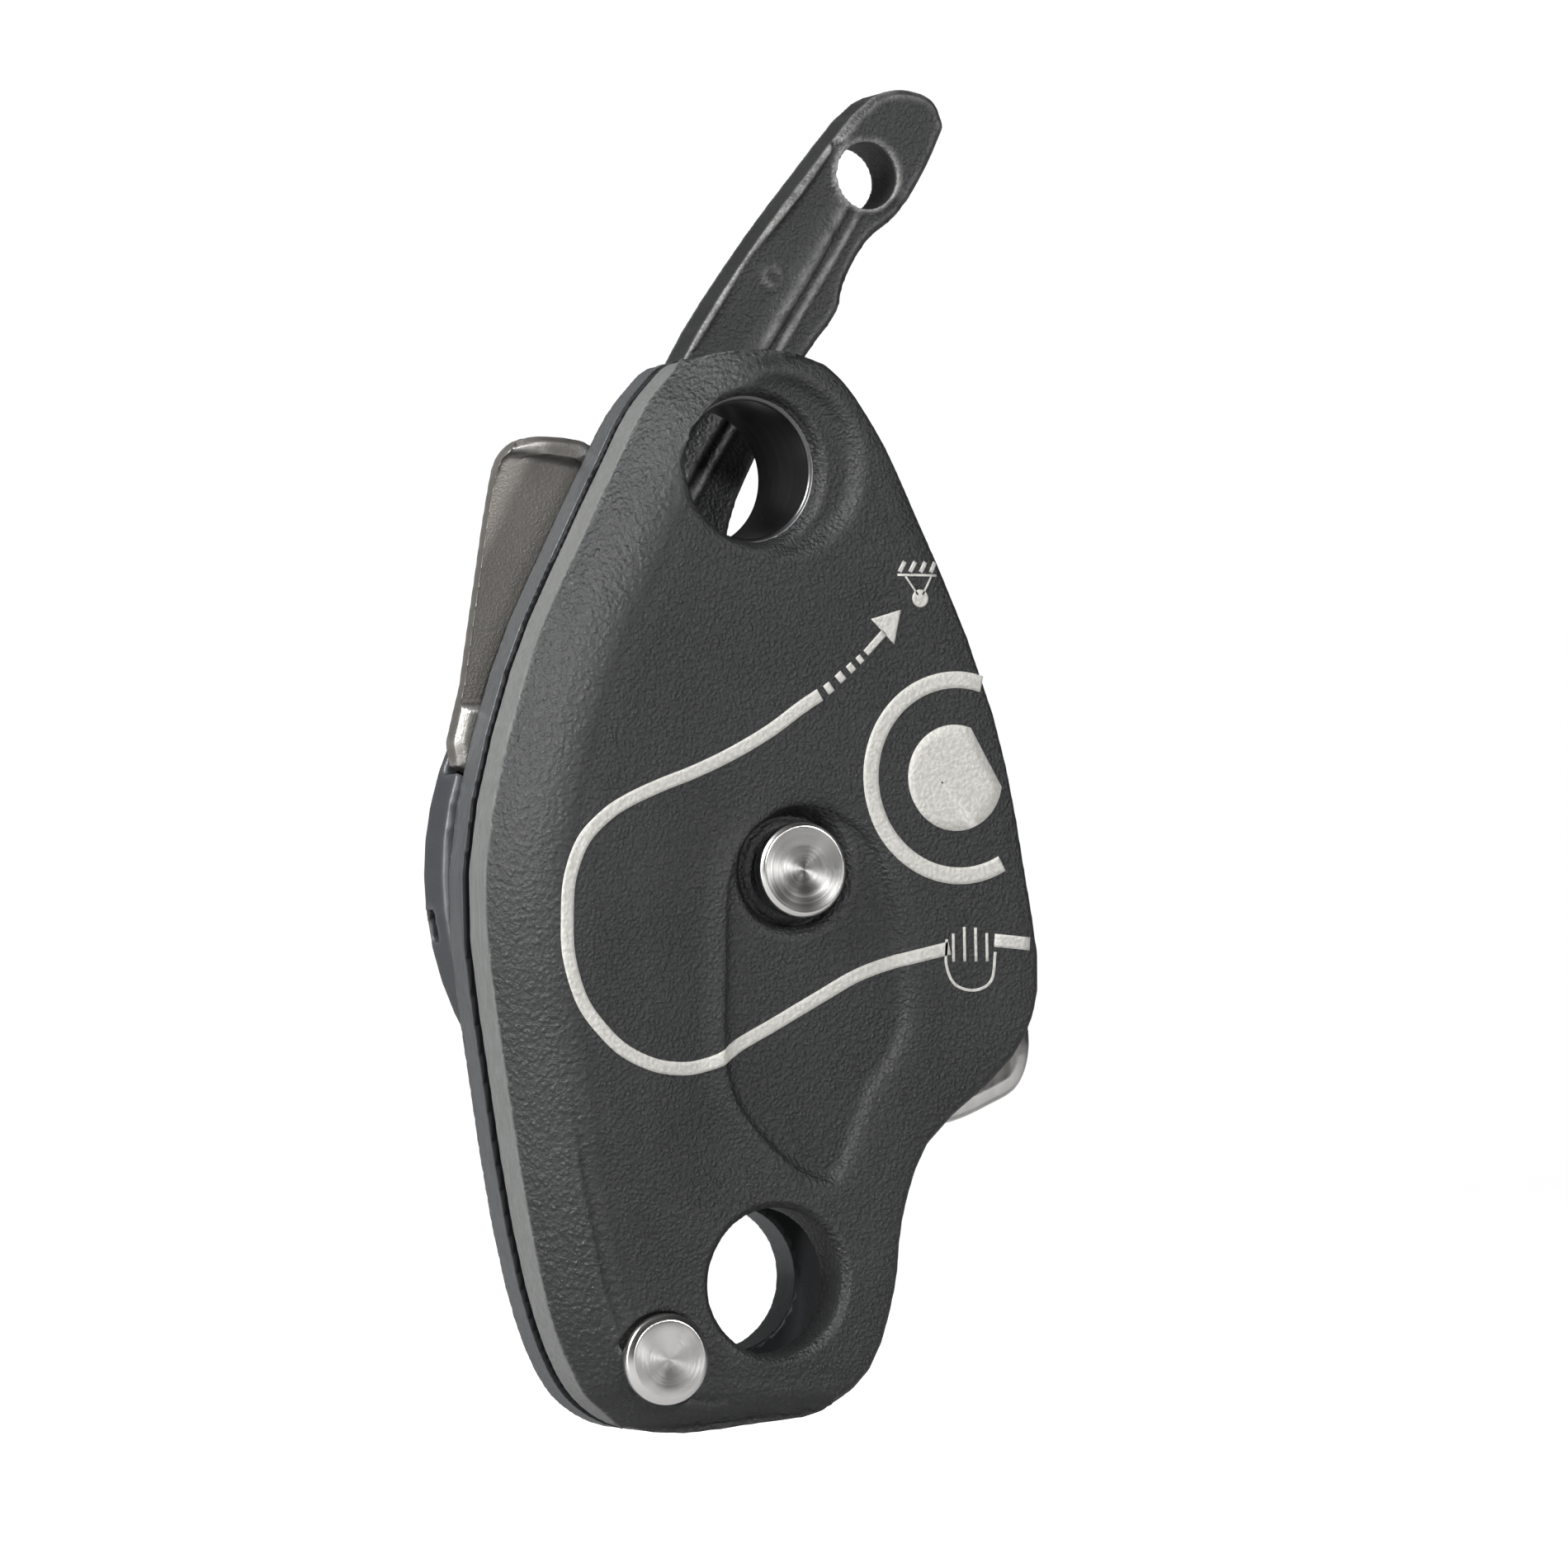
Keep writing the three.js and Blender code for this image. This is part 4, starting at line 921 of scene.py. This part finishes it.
# The dog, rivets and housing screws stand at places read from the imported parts
def buildPins():
    for node, body, slot, finish in (
        ("drive_dog", "handle", "stainless", "plainSteel"),
        ("shoe_rivet_1", "frame", "stainless", "plainSteel"),
        ("shoe_rivet_2", "frame", "stainless", "plainSteel"),
        ("housing_screw_1", "frame", "stainless", "plainSteel"),
        ("housing_screw_2", "frame", "stainless", "plainSteel"),
        ("housing_screw_3", "frame", "stainless", "plainSteel"),
    ):
        low, high = (np.array(corner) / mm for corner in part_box(node))
        places[node] = ((low[0] + high[0]) / 2, (low[2] + high[2]) / 2)
        front, back, wide = low[1], high[1], (high[0] - low[0]) / 2
        if node.startswith("housing"):
            profile = [(0, front), (1.3, front), (1.6, front + 0.3), (1.6, back - 1.5), (wide, back),
                (1.3, back), (1.3, back - 1.1), (0, back - 1.1)]
        elif node.startswith("shoe"):
            profile = [(0, front), (2.1, front), (2.1, back - 1.3), (wide, back), (0.2, back), (0, back - 0.02)]
        else:
            profile = [(0, front), (wide - 0.2, front), (wide, front + 0.2), (wide, back - 0.3),
                (wide - 0.3, back), (0.2, back), (0, back - 0.02)]
        parts = node.split("_")
        name = parts[0] + "".join(p.capitalize() for p in parts[1:])
        finished(lathe(name, node, roundedProfile(profile, 0.12), 48), body, slot, finishes[finish], node)


buildTurned()
buildPins()

springs = {
    "buttonCoil": ("side_plate", "button_spring", 3.6, 0.6, -9.8, -7.9, 3),
    "camCoil": ("cam", "cam_spring", 9.2, 1.2, 13.8, 15.1, 2),
    "handleCoil": ("handle", "handle_spring", 13.6, 1.5, 13.9, 15.0, 1),
}


def buildSprings():
    for name, (body, node, radius, wire, front, back, turns) in springs.items():
        low, high = (np.array(corner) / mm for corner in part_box(node))
        coil = wireCoil(name, "axle", radius, wire, low[1] + wire / 2 + 0.02, high[1] - wire / 2 - 0.02, turns)
        finished(coil, body, "spring_steel", finishes["springWire"], node)


buildSprings()
print("turned pieces and springs")


def printMaterial():
    material, tree, shader = newMaterial("printInk", Metallic=0.0)
    skin = place(tree, grainGroup, Pebble=1.0, Coarse_Share=0.0)
    touch = place(tree, handlingGroup)
    thin = rangeNode(tree, skin.outputs["Height"], 0.05, 0.5)
    tree.links.new(mixColour(tree, thin, (0.40, 0.39, 0.365), (0.50, 0.49, 0.46)), shader.inputs["Base Color"])
    tree.links.new(rangeNode(tree, touch.outputs["Smudge"], 0.0, 1.0, 0.5, 0.62), shader.inputs["Roughness"])
    addBump(tree, shader, skin.outputs["Height"], 0.8, 0.12)
    return material


ink = {"width": 1.65, "lift": 0.07, "sink": 0.15}
inkMaterial = printMaterial()


# A flat strip carried along a line in X and Z; its Y is the cover's height less a small lift, and its two long
# edges dip into the cover
def ribbon(name, line, width, closed=False):
    p = np.asarray(line, float)
    if not closed:
        tip = [p[:1], p[:1] + 0.03 * (p[1:2] - p[:1]) / np.linalg.norm(p[1] - p[0])]
        toe = [p[-1:] + 0.03 * (p[-2:-1] - p[-1:]) / np.linalg.norm(p[-2] - p[-1]), p[-1:]]
        p = np.vstack([*tip, p[1:-1], *toe])
    ends = np.vstack([p[-1:], p, p[:1]]) if closed else np.vstack([2 * p[0] - p[1], p, 2 * p[-1] - p[-2]])
    along = ends[2:] - ends[:-2]
    along /= np.linalg.norm(along, axis=1)[:, None]
    side = np.stack([-along[:, 1], along[:, 0]], 1)
    across = np.array([-1.0, -0.97, -0.5, 0.0, 0.5, 0.97, 1.0])
    lift = np.array([-ink["sink"], ink["lift"], ink["lift"], ink["lift"], ink["lift"], ink["lift"], -ink["sink"]])
    xz = p[:, None] + side[:, None] * (across * width / 2)[None, :, None]
    raised = np.broadcast_to(lift, (len(p), 7)).copy()
    if not closed:
        raised[0], raised[-1] = -ink["sink"], -ink["sink"]
    y = coverHeight(xz.reshape(-1, 2)) - raised.ravel()
    co = np.stack([xz[..., 0].ravel(), y, xz[..., 1].ravel()], 1)
    rows = len(p) if closed else len(p) - 1
    i, j = np.arange(rows)[:, None], np.arange(6)[None]
    nextI = (i + 1) % len(p)
    faces = np.stack([i * 7 + j, nextI * 7 + j, nextI * 7 + j + 1, i * 7 + j + 1], 2).reshape(-1, 4)
    return strip(name, co, faces)


# A sheet facing the front
def strip(name, co, faces):
    mesh = bpy.data.meshes.new(name)
    mesh.from_pydata((co * mm).tolist(), [], faces.tolist())
    mesh.update()
    normal = np.empty(len(mesh.polygons) * 3, np.float32)
    mesh.polygons.foreach_get("normal", normal)
    if normal.reshape(-1, 3)[:, 1].mean() > 0:
        mesh.flip_normals()
    return finished(newObject(name, mesh), "side_plate", "dark_casting", inkMaterial)


# A filled mark: the outline shrunk towards its middle in rings, its outer ring dipping into the cover
def patchOf(name, outline, rings=6):
    p = np.asarray(outline, float)
    middle = p.mean(0)
    scale = np.concatenate([[1.0], np.linspace(0.985, 0.02, rings)])
    xz = middle + (p - middle)[None] * scale[:, None, None]
    raised = np.full(xz.shape[:2], ink["lift"])
    raised[0] = -ink["sink"]
    y = coverHeight(xz.reshape(-1, 2)) - raised.ravel()
    co = np.stack([xz[..., 0].ravel(), y, xz[..., 1].ravel()], 1)
    n = len(p)
    i, j = np.arange(len(scale) - 1)[:, None], np.arange(n)[None]
    faces = np.stack([i * n + j, i * n + (j + 1) % n, (i + 1) * n + (j + 1) % n, (i + 1) * n + j], 2).reshape(-1, 4)
    return strip(name, co, faces)


ropePath = smoothCurve([
    (24, 40.1), (18, 38.8), (12, 37), (6, 34), (0, 30.9), (-4, 28.9), (-6.5, 27.3), (-9, 26.4), (-12, 26), (-16,
        26.5),
    (-20, 28.3), (-23, 31), (-25.5, 34.5), (-27, 39.5), (-27.2, 44), (-26.8, 49), (-25, 53.5), (-22,
        56.5), (-19, 58.3),
    (-15, 60), (-10, 61.8), (-5, 64), (0, 66.7), (4, 69.4), (6.8, 71.1)], 22)


def straight(a, b, count=6):
    return np.linspace(a, b, count)


def circleAt(centre, radius, count=64, start=0.0, sweep=360.0):
    angle = np.radians(start + np.linspace(0, sweep, count, endpoint=sweep < 360))
    if sweep >= 360:
        angle = np.radians(start + np.arange(count) / count * 360)
    return np.stack([centre[0] + radius * np.cos(angle), centre[1] + radius * np.sin(angle)], 1)


def buildPrint():
    ribbon("printRopePath", ropePath, ink["width"])
    ribbon("printRopeTail", straight((30.2, 41.0), (35.2, 40.5)), ink["width"])
    for k, (a, b) in enumerate((((7.6, 71.6), (8.4, 72.2)), ((9.2, 72.9), (10.0, 73.6)),
        ((10.7, 74.1), (11.4, 74.7)), ((12.0, 75.2), (12.6, 75.7)))):
        ribbon(f"printDash{k + 1}", straight(a, b, 4), (1.35, 1.25, 1.15, 1.05)[k])
    ribbon("printArrowShaft", straight((13.1, 76.2), (15.7, 78.8)), 0.9)
    patchOf("printArrowHead", np.vstack([straight((18.0, 81.6), (13.9, 80.4), 8)[:-1],
        straight((13.9, 80.4), (17.0, 77.3), 8)[:-1], straight((17.0, 77.3), (18.0, 81.6), 8)[:-1]]))
    for k in range(4):
        x = 17.9 + 1.45 * k
        ribbon(f"printAnchorBar{k + 1}", straight((x, 86.2), (x + 0.75, 87.5), 4), 0.55)
    ribbon("printAnchorLine", straight((17.6, 85.85), (23.1, 85.85)), 0.3)
    ribbon("printAnchorLeft", straight((18.7, 85.7), (20.4, 83.4)), 0.22)
    ribbon("printAnchorRight", straight((22.3, 85.7), (21.0, 83.4)), 0.22)
    patchOf("printAnchorDisc", circleAt((20.7, 83.0), 1.1, 32))
    ribbon("printRing", circleAt((25.6, 61.0), 12.05, 150, 73.0, 226.0), 2.1)
    patchOf("printRingCore", np.vstack([circleAt((25.2, 61.0), 6.6, 40, 70, 220),
        circleAt((25.2, 61.0), 6.6, 8, 290, 70)[:-1]]))
    for k, x in enumerate((24.5, 26.05, 27.6, 29.15)):
        top = (41.9, 42.7, 42.6, 41.9)[k]
        ribbon(f"printFinger{k + 1}", straight((x, 38.4), (x, top), 6), 0.36)
    ribbon("printPalm", smoothCurve([(23.6, 41.2), (23.5, 38.0), (24.7, 35.6), (27.4, 34.9), (29.7, 36.1),
        (30.3, 39.6)], 8), 0.36)


buildPrint()
print("printed marks")


# Floor that curves up into a backdrop: y runs back, then a quarter circle, then straight up
def buildStage():
    floorZ, radius, reach = cadLow[2] / mm - 40.0, 900.0, 2600.0  # clear of the opened side plate
    arc = np.linspace(0, np.pi / 2, 24)
    y = np.concatenate([[-3000, -500, 1200], 1800 + radius * np.sin(arc), [1800 + radius]])
    z = np.concatenate([[0, 0, 0], radius * (1 - np.cos(arc)), [4500]])
    x = np.linspace(-reach * 1.6, reach * 1.6, 9)
    co = np.stack([np.broadcast_to(x[None], (len(y), 9)), np.broadcast_to(y[:, None], (len(y), 9)),
        np.broadcast_to(z[:, None] + floorZ, (len(y), 9))], 2)
    i, j = np.arange(len(y) - 1)[:, None], np.arange(8)[None]
    faces = np.stack([i * 9 + j, i * 9 + j + 1, (i + 1) * 9 + j + 1, (i + 1) * 9 + j], 2).reshape(-1, 4)
    mesh = bpy.data.meshes.new("floorSweep")
    mesh.from_pydata((co.reshape(-1, 3) * mm).tolist(), [], faces.tolist())
    mesh.update()
    smoothShaded(mesh)
    floor = newObject("floorSweep", mesh)
    material, tree, shader = newMaterial("paleFloor", Roughness=0.75)
    shader.inputs["Emission Strength"].default_value = 1.0
    seen = tree.nodes.new("ShaderNodeLightPath").outputs["Is Camera Ray"]
    tree.links.new(mixColour(tree, seen, (0.4, 0.4, 0.4), (0.86, 0.86, 0.86)), shader.inputs["Base Color"])
    tree.links.new(mixColour(tree, seen, (0.08, 0.08, 0.08), (0.85, 0.85, 0.85)), shader.inputs["Emission Color"])
    mesh.materials.append(material)


def areaLight(name, location, target, size, power, sizeY=None, tint=(1, 1, 1)):
    light = bpy.data.lights.new(name, "AREA")
    light.shape = "RECTANGLE"
    light.size, light.size_y = size, sizeY or size
    light.energy = power
    light.color = tint
    lamp = bpy.data.objects.new(name, light)
    bpy.context.scene.collection.objects.link(lamp)
    lamp.location = location
    lamp.rotation_euler = (Vector(target) - Vector(location)).to_track_quat("-Z", "Y").to_euler()


lights = {
    "upperLeftSoftbox": ((-1.0, -0.22, 0.75), (0, 0, 0.07), 0.5, 26.0, 0.5),
    "leftStrip": ((-1.15, 0.0, 0.0), (0, 0, 0.05), 0.25, 4.5, 0.8),
    "frontSpot": ((-0.2, -1.2, 0.55), (0, 0, 0.07), 0.14, 7.0, 0.14),
    "rightSoftbox": ((0.72, -1.0, 0.5), (0, 0, 0.07), 0.16, 6.0, 0.16),
}


def buildLights():
    for name, (location, target, size, power, sizeY) in lights.items():
        areaLight(name, location, target, size, power, sizeY)
    world = bpy.data.worlds.new("studio")
    bpy.context.scene.world = world
    world.use_nodes = True
    background = world.node_tree.nodes["Background"]
    background.inputs["Color"].default_value = (1, 1, 1, 1)
    background.inputs["Strength"].default_value = 0.03


# Right, up and back directions as the columns of the camera's turn
def buildCamera():
    camera = bpy.data.cameras.new("mainCamera")
    camera.lens, camera.sensor_width = 151.6, 36.0
    camera.clip_start, camera.clip_end = 0.05, 20.0
    rig = bpy.data.objects.new("mainCamera", camera)
    bpy.context.scene.collection.objects.link(rig)
    forward = Vector((0.4384, 0.8982, 0.0314)).normalized()
    right = forward.cross(Vector((0, -0.0349, 0.9994))).normalized()
    up = right.cross(forward)
    turn = Matrix((right, up, -forward)).transposed().to_4x4()
    rig.matrix_world = Matrix.Translation((-0.3492, -0.7285, 0.0351)) @ turn
    bpy.context.scene.camera = rig


buildStage()
buildLights()
buildCamera()
bpy.context.scene.view_settings.view_transform = "Standard"
print("stage, lights and camera")
